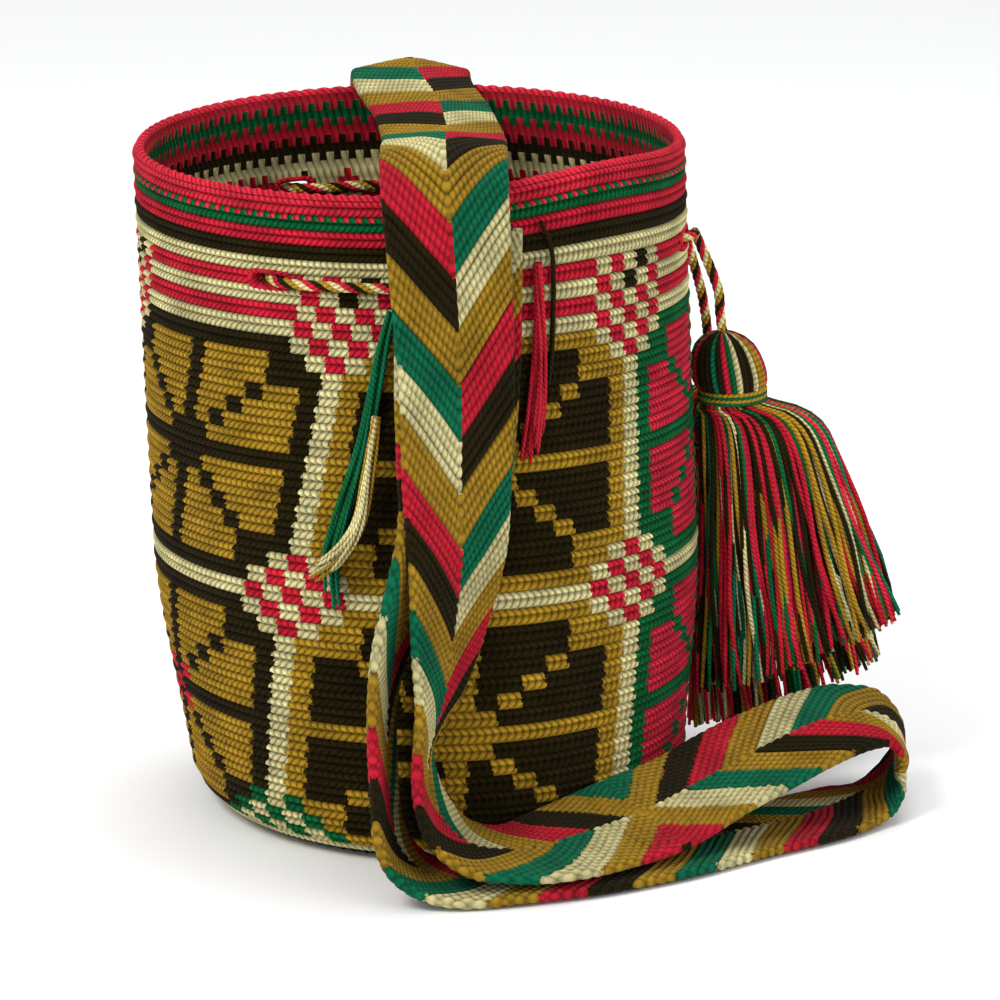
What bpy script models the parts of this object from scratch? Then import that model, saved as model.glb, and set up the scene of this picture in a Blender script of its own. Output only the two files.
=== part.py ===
"""A crocheted drawstring shoulder bag standing on its flat base, mouth open.

The body is one crocheted piece: rounds of stitches from the rim down the wall, round the corner and over
the base. A woven band is stitched to the back and the front of the rim and lies in a long loop in front of
the bag. A twisted cord runs in and out of eyelets below the rim, and its two ends carry tassels.
Metres, +Z up, +X to the right, the front of the bag at -Y. The origin is the middle of the flat base.
"""

import bmesh
import bpy
import math
from mathutils import Vector

# Body: the rounds, the wall and its outline
ROUND_PITCH = 0.0068
RIDGE_HEIGHT = 0.0007
WALL_THICKNESS = 0.0040
CORNER_RADIUS = 0.018
RIM_HEIGHT = 0.2760
RIM_TILT = 0.0045
RIM_LEAN = 0.0012
RIM_BUMP = 0.0065
RIM_BUMP_ANGLE = math.radians(43.0)
RIM_BUMP_SPREAD = math.radians(28.0)
RIM_WAVE_DEPTH = 0.058
RIM_CROWN = 0.0012
ROUNDS_END_ABOVE_BASE = 0.0050
HALF_WIDTH_BASE = 0.1025
HALF_WIDTH_WALL = 0.1130
WIDTH_GROWS_OVER = 0.110
HALF_DEPTH_BASE = 0.1165
HALF_DEPTH_RIM = 0.0952
DEPTH_SHRINKS_FROM = 0.030
DEPTH_SHRINKS_OVER = 0.245
LEAN_AT_RIM = -0.0135
LEAN_POWER = 0.7
ROUND_COUNT = int((RIM_HEIGHT + (math.pi / 2 - 1.0) * CORNER_RADIUS - ROUNDS_END_ABOVE_BASE) / ROUND_PITCH)
COLUMNS = 32
INNER_ROWS = 12
CORNER_ROWS = 3

# Clearance between pieces that touch
TOUCH_GAP = 0.0003
# How far the flat facets of the wall cut inside its true outline
FACET_SAG = 0.0009
# How far a straight length of the cord cuts inside its curve
CORD_SAG = 0.0004

# Eyelets and the drawstring that runs through them
EYELET_ROUND = 5
EYELET_WIDTH = 0.0225
EYELET_HEIGHT_CLEARANCE = 0.0012
EYELET_ANGLES = (82.0, 14.0, -30.0, -108.0, -152.0, -242.0)
DRAWSTRING_DIAMETER = 0.0045
CROSSING_LENGTH = 0.0200
RING_STEP = 0.0125
TAIL_TURN = 9.5

# Tassels: a head, a bound neck and a skirt of cut yarn
TASSEL_LENGTH = 0.158
HEAD_LENGTH = 0.0255
# How far down the binding and the start of the skirt lie, as shares of the head's length
BINDING_LEVEL = 1.10
SKIRT_LEVEL = 1.16
# How far the head's middle moves out on its way down, and where the skirt's wall side is in the head's radius
HEAD_SLANT = 0.16
WALL_SIDE = 0.62
HEAD_RADIUS = 0.0160
NECK_RADIUS = 0.0126
SKIRT_RADIUS = 0.0435
SKIRT_DEPTH_SHARE = 0.55
SKIRT_CUT_RISE = 0.0336
BINDING_RADIUS = 0.0018
FLUTE_DEPTH = 0.08
TASSEL_COLUMNS = 20
FRONT_TASSEL_TOP = (0.1165, 0.008, 0.1950)
BACK_TASSEL_TOP = (0.1140, 0.0590, 0.1610)
BACK_TASSEL_SCALE = 0.98

# Shoulder strap
STRAP_WIDTH = 0.052
STRAP_THICKNESS = 0.0052
STRAP_EDGE_SHARE = 0.90
STRAP_STEP = 0.0145
PUSH_SPREAD = 4
SPLINE_PIECES = 12
MOUTH_SHARE = 0.90
MOUTH_DIP = 0.012

# Loose yarn left from stitching the strap on
YARN_BUNDLE_DIAMETER = 0.0070
YARN_LOOP_DIAMETER = 0.0030
YARN_STEP = 0.012


def smooth_step(value):
    """0 to 1 with flat ends."""
    t = min(max(value, 0.0), 1.0)
    return t * t * (3.0 - 2.0 * t)


def mix(start, end, share):
    return start + (end - start) * share


def half_width(z):
    return mix(HALF_WIDTH_BASE, HALF_WIDTH_WALL, smooth_step(z / WIDTH_GROWS_OVER))


def half_depth(z):
    share = smooth_step((z - DEPTH_SHRINKS_FROM) / DEPTH_SHRINKS_OVER)
    return mix(HALF_DEPTH_BASE, HALF_DEPTH_RIM, share)


def lean(z):
    """How far the middle of the wall stands to the side of the middle of the base."""
    return LEAN_AT_RIM * (max(z, 0.0) / RIM_HEIGHT) ** LEAN_POWER


def rim_wave(angle, depth):
    """The rim rises and dips round the mouth. The wave dies out with depth, the way down from the rim."""
    fade = 1.0 - smooth_step(depth / RIM_WAVE_DEPTH)
    away = (angle - RIM_BUMP_ANGLE + math.pi) % (2.0 * math.pi) - math.pi
    bump = RIM_BUMP * math.exp(-(away / RIM_BUMP_SPREAD) ** 2)
    return (RIM_LEAN * math.sin(angle) - RIM_TILT * math.cos(angle) + bump) * fade


def wall_point(angle, z, inset, depth):
    """A point of the wall. angle is 0 at the front and grows towards +X; inset goes inwards."""
    x = lean(z) + (half_width(z) - inset) * math.sin(angle)
    y = -(half_depth(z) - inset) * math.cos(angle)
    return Vector((x, y, z + rim_wave(angle, depth)))


def profile(distance):
    """(inset, z, outwards share, upwards share) at a distance down the outer face from the rim."""
    straight = RIM_HEIGHT - CORNER_RADIUS
    if distance <= straight:
        return 0.0, RIM_HEIGHT - distance, 1.0, 0.0
    turn = min((distance - straight) / CORNER_RADIUS, math.pi / 2)
    inset = CORNER_RADIUS * (1.0 - math.cos(turn))
    z = CORNER_RADIUS * (1.0 - math.sin(turn))
    return inset, z, math.cos(turn), -math.sin(turn)


def ring_of(distance, raised):
    """One ring of points on the outer face, raised above it along its normal."""
    inset, z, outwards, upwards = profile(distance)
    points = []
    for column in range(COLUMNS):
        angle = 2.0 * math.pi * column / COLUMNS
        points.append(wall_point(angle, z + raised * upwards, inset - raised * outwards, distance))
    return points


def inner_ring(z, inset):
    points = []
    for column in range(COLUMNS):
        angle = 2.0 * math.pi * column / COLUMNS
        points.append(wall_point(angle, z, inset, RIM_HEIGHT - z))
    return points


def body_rings():
    """Rings from the middle of the inner floor up the inside, over the rim, down the ridged outside."""
    rings = []
    inner_corner = CORNER_RADIUS - WALL_THICKNESS
    for row in range(CORNER_ROWS + 1):
        turn = math.pi / 2 * (1.0 - row / CORNER_ROWS)
        z = WALL_THICKNESS + inner_corner * (1.0 - math.sin(turn))
        inset = WALL_THICKNESS + inner_corner * (1.0 - math.cos(turn))
        rings.append(inner_ring(z, inset))
    for row in range(1, INNER_ROWS + 1):
        z = mix(CORNER_RADIUS, RIM_HEIGHT, row / INNER_ROWS)
        rings.append(inner_ring(z, WALL_THICKNESS))
    rings.append(inner_ring(RIM_HEIGHT + RIM_CROWN, WALL_THICKNESS / 2))
    for row in range(ROUND_COUNT):
        rings.append(ring_of(row * ROUND_PITCH, 0.0))
        rings.append(ring_of((row + 0.5) * ROUND_PITCH, RIDGE_HEIGHT))
    rings.append(ring_of(ROUND_COUNT * ROUND_PITCH, 0.0))
    rings.append(ring_of(RIM_HEIGHT + CORNER_RADIUS, 0.0))
    return rings


def mesh_object(name, rings, colour, roughness):
    """A closed solid from rings of points, its first and last ring filled flat."""
    mesh = bmesh.new()
    rows = [[mesh.verts.new(point) for point in ring] for ring in rings]
    for lower, upper in zip(rows, rows[1:]):
        count = len(lower)
        for column in range(count):
            after = (column + 1) % count
            mesh.faces.new((lower[column], lower[after], upper[after], upper[column]))
    mesh.faces.new(list(reversed(rows[0])))
    mesh.faces.new(rows[-1])
    bmesh.ops.triangulate(mesh, faces=[face for face in mesh.faces if len(face.verts) == 4])
    bmesh.ops.recalc_face_normals(mesh, faces=mesh.faces)
    return finished_object(name, mesh, colour, roughness)


def finished_object(name, mesh, colour, roughness):
    data = bpy.data.meshes.new(name)
    mesh.to_mesh(data)
    mesh.free()
    data.shade_smooth()
    data.set_sharp_from_angle(angle=math.radians(50))
    piece = bpy.data.objects.new(name, data)
    bpy.context.scene.collection.objects.link(piece)
    give_material(piece, colour, roughness)
    return piece


def give_material(piece, colour, roughness):
    material = bpy.data.materials.new(piece.name)
    material.use_nodes = True
    shader = material.node_tree.nodes["Principled BSDF"]
    shader.inputs["Base Color"].default_value = (*colour, 1.0)
    shader.inputs["Roughness"].default_value = roughness
    shader.inputs["Metallic"].default_value = 0.0
    piece.data.materials.append(material)


def eyelet_distance():
    """How far the middle of the eyelets lies below the rim, along the wall."""
    return (EYELET_ROUND + 0.5) * ROUND_PITCH


def eyelet_cutter():
    """Every eyelet hole as one cutter: flat-ended slots across the wall."""
    mesh = bmesh.new()
    height = DRAWSTRING_DIAMETER + 2.0 * EYELET_HEIGHT_CLEARANCE
    depth = WALL_THICKNESS * 4.0
    for degrees in EYELET_ANGLES:
        angle = math.radians(degrees)
        middle = cord_point(angle, WALL_THICKNESS / 2)
        along = (cord_point(angle + 0.01, 0.0) - cord_point(angle - 0.01, 0.0)).normalized()
        across = along.cross(Vector((0, 0, 1))).normalized()
        up = across.cross(along).normalized()
        corners = []
        for side, level, way in ((-1, -1, -1), (1, -1, -1), (1, 1, -1), (-1, 1, -1),
                                 (-1, -1, 1), (1, -1, 1), (1, 1, 1), (-1, 1, 1)):
            offset = along * side * EYELET_WIDTH / 2 + up * level * height / 2 + across * way * depth / 2
            corners.append(mesh.verts.new(middle + offset))
        for face in ((0, 1, 2, 3), (7, 6, 5, 4), (0, 4, 5, 1), (1, 5, 6, 2), (2, 6, 7, 3), (3, 7, 4, 0)):
            mesh.faces.new([corners[index] for index in face])
    bmesh.ops.recalc_face_normals(mesh, faces=mesh.faces)
    data = bpy.data.meshes.new("eyelet_cutter")
    mesh.to_mesh(data)
    mesh.free()
    cutter = bpy.data.objects.new("eyelet_cutter", data)
    bpy.context.scene.collection.objects.link(cutter)
    cutter.hide_render = True
    cutter.display_type = "WIRE"
    return cutter


def make_body():
    body = mesh_object("bag_body", body_rings(), (0.35, 0.16, 0.05), 0.9)
    holes = body.modifiers.new("eyelets", "BOOLEAN")
    holes.operation = "DIFFERENCE"
    holes.object = eyelet_cutter()
    return body


def cord_point(angle, inset):
    """A point at the height of the eyelets, inset from the outer face of the wall."""
    distance = eyelet_distance()
    return wall_point(angle, RIM_HEIGHT - distance, inset, distance)


def through_points(points, step):
    """Points at about equal steps on a smooth curve through the given points."""
    padded = [points[0] * 2 - points[1]] + list(points) + [points[-1] * 2 - points[-2]]
    fine = []
    pieces = 24
    for before, start, end, after in zip(padded, padded[1:], padded[2:], padded[3:]):
        for index in range(pieces):
            t = index / pieces
            fine.append(0.5 * ((2 * start) + (end - before) * t
                               + (2 * before - 5 * start + 4 * end - after) * t * t
                               + (3 * start - before - 3 * end + after) * t * t * t))
    fine.append(points[-1].copy())
    lengths = [0.0]
    for start, end in zip(fine, fine[1:]):
        lengths.append(lengths[-1] + (end - start).length)
    count = max(2, round(lengths[-1] / step))
    chosen = []
    at = 0
    for index in range(count + 1):
        target = lengths[-1] * index / count
        while at < len(fine) - 2 and lengths[at + 1] < target:
            at += 1
        share = (target - lengths[at]) / max(lengths[at + 1] - lengths[at], 1e-9)
        chosen.append(fine[at].lerp(fine[at + 1], min(share, 1.0)))
    return chosen


def tube(name, points, diameter, colour, sides=2):
    """A round cord with closed ends along a list of points."""
    curve = bpy.data.curves.new(name, "CURVE")
    curve.dimensions = "3D"
    curve.bevel_depth = diameter / 2
    curve.bevel_resolution = sides
    curve.use_fill_caps = True
    line = curve.splines.new("POLY")
    line.points.add(len(points) - 1)
    for knot, point in zip(line.points, points):
        knot.co = (*point, 1.0)
    cord = bpy.data.objects.new(name, curve)
    bpy.context.scene.collection.objects.link(cord)
    give_material(cord, colour, 0.85)
    return cord


def cord_inset(outside):
    """How far the middle of the cord lies from the outer face of the wall, where it runs along the wall."""
    radius = DRAWSTRING_DIAMETER / 2
    if outside:
        return -(RIDGE_HEIGHT + TOUCH_GAP + CORD_SAG + radius)
    return WALL_THICKNESS + TOUCH_GAP + FACET_SAG + radius


def crossing_turn():
    """Half the angle, in degrees, that the cord takes to go through an eyelet."""
    mean_radius = (HALF_WIDTH_WALL + HALF_DEPTH_RIM) / 2
    return math.degrees(CROSSING_LENGTH / 2 / mean_radius)


def ring_stretch(start, end, outside):
    """The cord's points along the wall between two eyelets, outside or inside it, in order."""
    mean_radius = (HALF_WIDTH_WALL + HALF_DEPTH_RIM) / 2
    inset = cord_inset(outside)
    margin = crossing_turn()
    way = 1.0 if end > start else -1.0
    first = start + way * margin
    last = end - way * margin
    count = max(1, round(math.radians(abs(last - first)) * mean_radius / RING_STEP))
    points = []
    for index in range(count + 1):
        points.append(cord_point(math.radians(mix(first, last, index / count)), inset))
    return points


def crossing(degrees, way, outwards):
    """Three points that take the cord through an eyelet."""
    points = []
    for share in (-0.5, 0.0, 0.5):
        rise = smooth_step(0.5 + share / 2)
        inset = mix(cord_inset(not outwards), cord_inset(outwards), rise)
        offset = way * share * crossing_turn()
        points.append(cord_point(math.radians(degrees + offset), inset))
    return points


def tail_route(degrees, way, tassel_top):
    """From the eyelet where an end of the cord comes out, down to the top of its tassel."""
    start = cord_point(math.radians(degrees + way * crossing_turn()), cord_inset(True))
    end = Vector(tassel_top) + Vector((0, 0, TOUCH_GAP))
    turn = cord_point(math.radians(degrees + way * TAIL_TURN), cord_inset(True) - 0.0010)
    turn.z -= 0.0030
    drop = Vector((mix(turn.x, end.x, 0.55) + 0.0015, mix(turn.y, end.y, 0.5), mix(turn.z, end.z, 0.45)))
    above = end + Vector((-0.0010, 0.0, 0.012))
    return [start, turn, drop, above, end]


def make_drawstring():
    angles = EYELET_ANGLES
    tail_step = DRAWSTRING_DIAMETER * 2.2
    route = []
    front_tail = through_points(tail_route(angles[0], 1.0, FRONT_TASSEL_TOP), tail_step)
    route += list(reversed(front_tail))
    outside = True
    for index, degrees in enumerate(angles):
        route += crossing(degrees, -1.0, outwards=not outside)
        outside = not outside
        if index + 1 < len(angles):
            route += ring_stretch(degrees, angles[index + 1], outside)
    back_tail = through_points(tail_route(angles[-1], -1.0, BACK_TASSEL_TOP), tail_step)
    route += back_tail
    return tube("drawstring", route, DRAWSTRING_DIAMETER, (0.55, 0.30, 0.16))


def skirt_spread(share):
    """Half width of the skirt from the neck, 0, to the cut end, 1, as a share of the full half width."""
    return 0.32 + 0.25 * (1.0 - math.exp(-share * 60.0)) + 0.43 * share


def tassel_rings(top, scale):
    """Rings down one tassel. Its outer strands lean away from the wall and the inner ones hang along it."""
    top = Vector(top)
    length = TASSEL_LENGTH * scale
    head = HEAD_LENGTH * scale
    wall_side = top.x - HEAD_RADIUS * scale * WALL_SIDE
    rows = []
    for share, radius in ((0.0, 0.28), (0.10, 0.62), (0.32, 0.93), (0.58, 1.0), (0.82, 0.90)):
        rows.append((share * head, radius * HEAD_RADIUS * scale, radius * HEAD_RADIUS * scale))
    rows.append((head * 1.04, NECK_RADIUS * scale, NECK_RADIUS * scale))
    rows.append((head * SKIRT_LEVEL, NECK_RADIUS * scale, NECK_RADIUS * scale))
    for share in (0.015, 0.05, 0.15, 0.30, 0.55, 0.80, 1.0):
        wide = SKIRT_RADIUS * scale * skirt_spread(share)
        deep = max(wide * SKIRT_DEPTH_SHARE, NECK_RADIUS * scale)
        rows.append((mix(head * SKIRT_LEVEL, length, share), wide, deep))
    rings = []
    neck_level = head * SKIRT_LEVEL
    for drop, wide, deep in rows:
        middle = top.x + drop * HEAD_SLANT
        if drop > neck_level:
            middle = wall_side + wide
        rise = SKIRT_CUT_RISE * scale * max(0.0, (drop - neck_level) / (length - neck_level))
        ring = []
        for column in range(TASSEL_COLUMNS):
            angle = 2.0 * math.pi * column / TASSEL_COLUMNS
            flute = 1.0 - FLUTE_DEPTH * (column % 2)
            x = middle + wide * flute * math.cos(angle)
            y = top.y + deep * flute * math.sin(angle)
            lift = rise * (0.5 + 0.5 * math.cos(angle))
            ring.append(Vector((x, y, top.z - drop + lift)))
        rings.append(ring)
    return rings


def binding_ring(name, top, scale):
    """The yarn wound round a tassel's neck."""
    drop = HEAD_LENGTH * scale * BINDING_LEVEL
    middle = Vector((top[0] + drop * HEAD_SLANT, top[1], top[2] - drop))
    reach = NECK_RADIUS * scale + TOUCH_GAP + BINDING_RADIUS
    sections = 16
    sides = 6
    mesh = bmesh.new()
    rows = []
    for index in range(sections):
        angle = 2.0 * math.pi * index / sections
        row = []
        for side in range(sides):
            turn = 2.0 * math.pi * side / sides
            out = reach + BINDING_RADIUS * math.cos(turn)
            reached = Vector((out * math.cos(angle), out * math.sin(angle), BINDING_RADIUS * math.sin(turn)))
            row.append(mesh.verts.new(middle + reached))
        rows.append(row)
    for index in range(sections):
        this = rows[index]
        following = rows[(index + 1) % sections]
        for side in range(sides):
            after = (side + 1) % sides
            mesh.faces.new((this[side], following[side], following[after], this[after]))
    bmesh.ops.recalc_face_normals(mesh, faces=mesh.faces)
    return finished_object(name, mesh, (0.06, 0.28, 0.14), 0.85)


def make_tassels():
    for name, top, scale in (("tassel_front", FRONT_TASSEL_TOP, 1.0),
                             ("tassel_back", BACK_TASSEL_TOP, BACK_TASSEL_SCALE)):
        mesh_object(name, tassel_rings(top, scale), (0.45, 0.10, 0.10), 0.9)
        binding_ring(name + "_binding", top, scale)


def strap_stations():
    """The strap's route from the back seam to the front: left edge, right edge and the middle's rise.

    Places are shares of the bag's half width, half depth and height, the rise of the strap's width.
    """
    return [
        ((-0.354, 1.056, 0.855), (0.106, 1.056, 0.855), 0.0),
        ((-0.354, 1.061, 0.949), (0.106, 1.061, 0.949), 0.0),
        ((-0.354, 1.056, 1.007), (0.106, 1.056, 1.007), 0.038),
        ((-0.350, 0.982, 1.036), (0.102, 0.982, 1.036), 0.096),
        ((-0.341, 0.798, 1.042), (0.102, 0.798, 1.042), 0.135),
        ((-0.314, 0.567, 1.038), (0.124, 0.567, 1.038), 0.154),
        ((-0.257, 0.231, 1.033), (0.177, 0.189, 1.033), 0.154),
        ((-0.228, -0.137, 1.033), (0.211, -0.179, 1.033), 0.154),
        ((-0.208, -0.452, 1.034), (0.232, -0.483, 1.034), 0.115),
        ((-0.209, -0.683, 1.043), (0.237, -0.704, 1.043), 0.096),
        ((-0.212, -0.893, 1.049), (0.239, -0.882, 1.049), 0.096),
        ((-0.211, -1.103, 1.038), (0.241, -1.061, 1.038), 0.077),
        ((-0.200, -1.271, 0.978), (0.248, -1.134, 0.986), 0.058),
        ((-0.175, -1.376, 0.888), (0.255, -1.176, 0.888), 0.038),
        ((-0.139, -1.465, 0.743), (0.263, -1.197, 0.743), 0.0),
        ((-0.127, -1.555, 0.598), (0.249, -1.239, 0.598), 0.0),
        ((-0.106, -1.631, 0.498), (0.232, -1.261, 0.498), 0.0),
        ((-0.096, -1.702, 0.380), (0.157, -1.245, 0.380), 0.0),
        ((-0.080, -1.754, 0.290), (0.075, -1.239, 0.290), 0.0),
        ((-0.081, -1.791, 0.203), (-0.040, -1.239, 0.203), 0.0),
        ((-0.064, -1.791, 0.138), (-0.018, -1.239, 0.138), 0.0),
        ((0.004, -1.786, 0.080), (0.075, -1.245, 0.080), 0.0),
        ((0.133, -1.765, 0.051), (0.212, -1.227, 0.058), 0.0),
        ((0.301, -1.702, 0.038), (0.403, -1.179, 0.071), 0.0),
        ((0.487, -1.534, 0.040), (0.588, -1.016, 0.085), 0.0),
        ((0.759, -1.239, 0.050), (0.865, -0.735, 0.111), 0.0),
        ((1.058, -0.998, 0.082), (1.135, -0.492, 0.149), 0.0),
        ((1.363, -0.777, 0.121), (1.386, -0.254, 0.168), 0.0),
        ((1.535, -0.641, 0.139), (1.558, -0.097, 0.154), 0.0),
        ((1.646, -0.578, 0.123), (1.668, -0.033, 0.123), 0.0),
        ((1.681, -0.551, 0.083), (1.704, -0.006, 0.082), 0.0),
        ((1.642, -0.567, 0.040), (1.653, -0.022, 0.036), 0.0),
        ((1.553, -0.672, 0.016), (1.475, -0.134, 0.015), 0.0),
        ((1.416, -0.893, 0.012), (1.245, -0.386, 0.012), 0.0),
        ((1.186, -1.113, 0.012), (0.929, -0.661, 0.012), 0.0),
        ((0.885, -1.408, 0.012), (0.649, -0.940, 0.016), 0.0),
        ((0.584, -1.628, 0.012), (0.385, -1.136, 0.022), 0.0),
        ((0.292, -1.765, 0.012), (0.173, -1.237, 0.024), 0.0),
        ((0.071, -1.828, 0.012), (0.024, -1.285, 0.022), 0.0),
        ((-0.106, -1.828, 0.033), (-0.088, -1.282, 0.034), 0.0),
        ((-0.204, -1.826, 0.083), (-0.150, -1.282, 0.083), 0.0),
        ((-0.223, -1.826, 0.156), (-0.168, -1.282, 0.156), 0.0),
        ((-0.237, -1.822, 0.272), (-0.168, -1.282, 0.272), 0.0),
        ((-0.232, -1.775, 0.373), (-0.097, -1.250, 0.373), 0.0),
        ((-0.199, -1.681, 0.453), (0.044, -1.208, 0.453), 0.0),
        ((-0.150, -1.492, 0.536), (0.195, -1.134, 0.536), 0.0),
        ((-0.150, -1.334, 0.612), (0.252, -1.071, 0.612), 0.0),
        ((-0.164, -1.208, 0.714), (0.285, -1.061, 0.714), 0.0),
        ((-0.164, -1.165, 0.815), (0.294, -1.057, 0.815), 0.0),
        ((-0.164, -1.144, 0.880), (0.294, -1.036, 0.880), 0.0),
        ((-0.164, -1.071, 0.949), (0.294, -0.977, 0.949), 0.0),
    ]


def spline(around, t):
    """A smooth curve through values: from the second to the third of four."""
    before, start, end, after = around
    return 0.5 * ((2 * start) + (end - before) * t
                  + (2 * before - 5 * start + 4 * end - after) * t * t
                  + (3 * start - before - 3 * end + after) * t * t * t)


def on_bag(shares):
    """A point given as shares of the bag's half width, half depth and height."""
    return Vector((shares[0] * HALF_WIDTH_WALL, shares[1] * HALF_DEPTH_RIM, shares[2] * RIM_HEIGHT))


def strap_rows():
    """Closely spaced rows of the strap's left edge, right edge and rise."""
    stations = [(on_bag(left), on_bag(right), rise * STRAP_WIDTH) for left, right, rise in strap_stations()]
    rows = []
    for index in range(len(stations) - 1):
        around = [stations[min(max(index + step, 0), len(stations) - 1)] for step in (-1, 0, 1, 2)]
        for part in range(SPLINE_PIECES):
            t = part / SPLINE_PIECES
            rows.append([spline([station[item] for station in around], t) for item in range(3)])
    rows.append(list(stations[-1]))
    return rows


def strap_frames():
    """(middle, left way, right way, along) at equal steps of the strap's length."""
    rows = strap_rows()
    centres = [(left + right) / 2 for left, right, rise in rows]
    lengths = [0.0]
    for this, following in zip(centres, centres[1:]):
        lengths.append(lengths[-1] + (following - this).length)
    count = round(lengths[-1] / STRAP_STEP)
    frames = []
    at = 0
    for index in range(count + 1):
        target = lengths[-1] * index / count
        while at < len(rows) - 2 and lengths[at + 1] < target:
            at += 1
        share = min((target - lengths[at]) / max(lengths[at + 1] - lengths[at], 1e-9), 1.0)
        along = (centres[at + 1] - centres[at]).normalized()
        left, right, rise = [mix(rows[at][item], rows[at + 1][item], share) for item in range(3)]
        across = (left - right).normalized()
        middle = (left + right) / 2 + across.cross(along).normalized() * rise
        left_way = left - middle
        right_way = right - middle
        left_way = (left_way - along * left_way.dot(along)).normalized()
        right_way = (right_way - along * right_way.dot(along)).normalized()
        frames.append((middle, left_way, right_way, along))
    return frames


def wall_overlap(point):
    """How much further out a point must lie to be clear of the wall."""
    corner = max(CORNER_RADIUS - point.z, 0.0)
    inset = CORNER_RADIUS - math.sqrt(max(CORNER_RADIUS ** 2 - corner ** 2, 0.0))
    x = point.x - lean(point.z)
    scale = math.hypot(x / (half_width(point.z) - inset), point.y / (half_depth(point.z) - inset))
    over_mouth = scale < MOUTH_SHARE and point.z > RIM_HEIGHT - MOUTH_DIP
    if over_mouth or point.z > RIM_HEIGHT:
        return 0.0
    beyond = math.hypot(x, point.y) * (1.0 - 1.0 / scale)
    return max(RIDGE_HEIGHT + TOUCH_GAP + CORD_SAG - beyond, 0.0)


def clear_of_wall(frames):
    """The strap's frames, moved out where they would reach into the wall."""
    needs = [max(wall_overlap(point) for point in strap_ring(*frame)) for frame in frames]
    moved = []
    for index, (middle, left, right, along) in enumerate(frames):
        need = 0.0
        for step in range(-PUSH_SPREAD, PUSH_SPREAD + 1):
            near = needs[min(max(index + step, 0), len(frames) - 1)]
            need = max(need, near * (1.0 - abs(step) / (PUSH_SPREAD + 1)))
        outwards = Vector((middle.x - lean(middle.z), middle.y, 0.0)).normalized()
        moved.append((middle + outwards * need, left, right, along))
    return moved


def strap_ring(middle, left, right, along):
    """The strap's cross-section: two halves that meet at its middle line, with thin rounded edges."""
    half = STRAP_WIDTH / 2
    inner_left = along.cross(left).normalized()
    inner_right = right.cross(along).normalized()
    inner_middle = (inner_left + inner_right).normalized()
    thick = STRAP_THICKNESS / 2
    near = half * STRAP_EDGE_SHARE
    return [
        middle + left * half,
        middle + left * near - inner_left * thick,
        middle - inner_middle * thick,
        middle + right * near - inner_right * thick,
        middle + right * half,
        middle + right * near + inner_right * thick,
        middle + inner_middle * thick,
        middle + left * near + inner_left * thick,
    ]


def make_strap():
    """The strap's rings joined into one band that lies on the floor and doesn't reach below it."""
    rings = [strap_ring(*frame) for frame in clear_of_wall(strap_frames())]
    for ring in rings:
        for point in ring:
            point.z = max(point.z, 0.0)
    return mesh_object("shoulder_strap", rings, (0.45, 0.28, 0.08), 0.9)


def resting_on_wall(x, z, radius):
    """The middle of a yarn of the given radius that lies against the front of the wall."""
    across = (x - lean(z)) / half_width(z)
    along = math.sqrt(1.0 - across ** 2)
    outwards = Vector((across / half_width(z), -along / half_depth(z), 0.0)).normalized()
    on_wall = Vector((x, -half_depth(z) * along, z))
    return on_wall + outwards * (RIDGE_HEIGHT + TOUCH_GAP + radius)


def make_yarn_ends():
    """Yarn left hanging from the seam of the strap at the front of the rim.

    Its routes run down the wall: places across and up as shares of the bag's half width and height.
    """
    green = [(-0.168, 0.826), (-0.199, 0.774), (-0.265, 0.634),
             (-0.341, 0.525), (-0.376, 0.460), (-0.367, 0.391)]
    cream = [(-0.212, 0.681), (-0.235, 0.598), (-0.265, 0.525), (-0.336, 0.475), (-0.425, 0.442)]
    red = [(0.333, 0.891), (0.338, 0.815), (0.336, 0.743), (0.326, 0.678), (0.305, 0.601)]
    loop = [(0.347, 0.949), (0.386, 0.902), (0.391, 0.812), (0.388, 0.746), (0.375, 0.710)]
    bundle = YARN_BUNDLE_DIAMETER
    thread = YARN_LOOP_DIAMETER
    for name, route, diameter, lies_on, colour in (
            ("yarn_ends_green", green, bundle, 0.0, (0.0, 0.22, 0.12)),
            ("yarn_ends_cream", cream, bundle, bundle + TOUCH_GAP, (0.60, 0.55, 0.36)),
            ("yarn_ends_red", red, bundle, 0.0, (0.60, 0.03, 0.06)),
            ("yarn_loop_dark", loop, thread, 0.0, (0.03, 0.025, 0.01))):
        radius = diameter / 2 + lies_on
        points = [resting_on_wall(x * HALF_WIDTH_WALL, z * RIM_HEIGHT, radius) for x, z in route]
        tube(name, through_points(points, YARN_STEP), diameter, colour)


def main():
    for old in list(bpy.data.objects):
        bpy.data.objects.remove(old)
    make_body()
    make_drawstring()
    make_tassels()
    make_strap()
    make_yarn_ends()


main()
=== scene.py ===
import math

import bpy
import numpy as np
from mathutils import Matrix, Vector


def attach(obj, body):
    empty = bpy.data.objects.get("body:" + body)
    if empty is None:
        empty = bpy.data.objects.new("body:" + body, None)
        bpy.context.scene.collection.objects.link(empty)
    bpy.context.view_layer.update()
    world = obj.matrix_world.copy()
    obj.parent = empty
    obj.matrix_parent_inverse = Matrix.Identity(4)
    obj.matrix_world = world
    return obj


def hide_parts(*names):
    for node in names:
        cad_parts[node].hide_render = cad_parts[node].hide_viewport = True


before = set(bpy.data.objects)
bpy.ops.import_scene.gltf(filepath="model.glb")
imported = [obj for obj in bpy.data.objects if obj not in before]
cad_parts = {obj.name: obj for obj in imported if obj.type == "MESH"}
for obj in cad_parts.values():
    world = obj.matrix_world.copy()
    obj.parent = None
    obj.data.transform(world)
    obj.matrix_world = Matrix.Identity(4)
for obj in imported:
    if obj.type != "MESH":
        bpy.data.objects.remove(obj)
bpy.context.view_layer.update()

# Body: the rounds, the wall and its outline
ROUND_PITCH = 0.0068
ROUND_COUNT = 41
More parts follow.
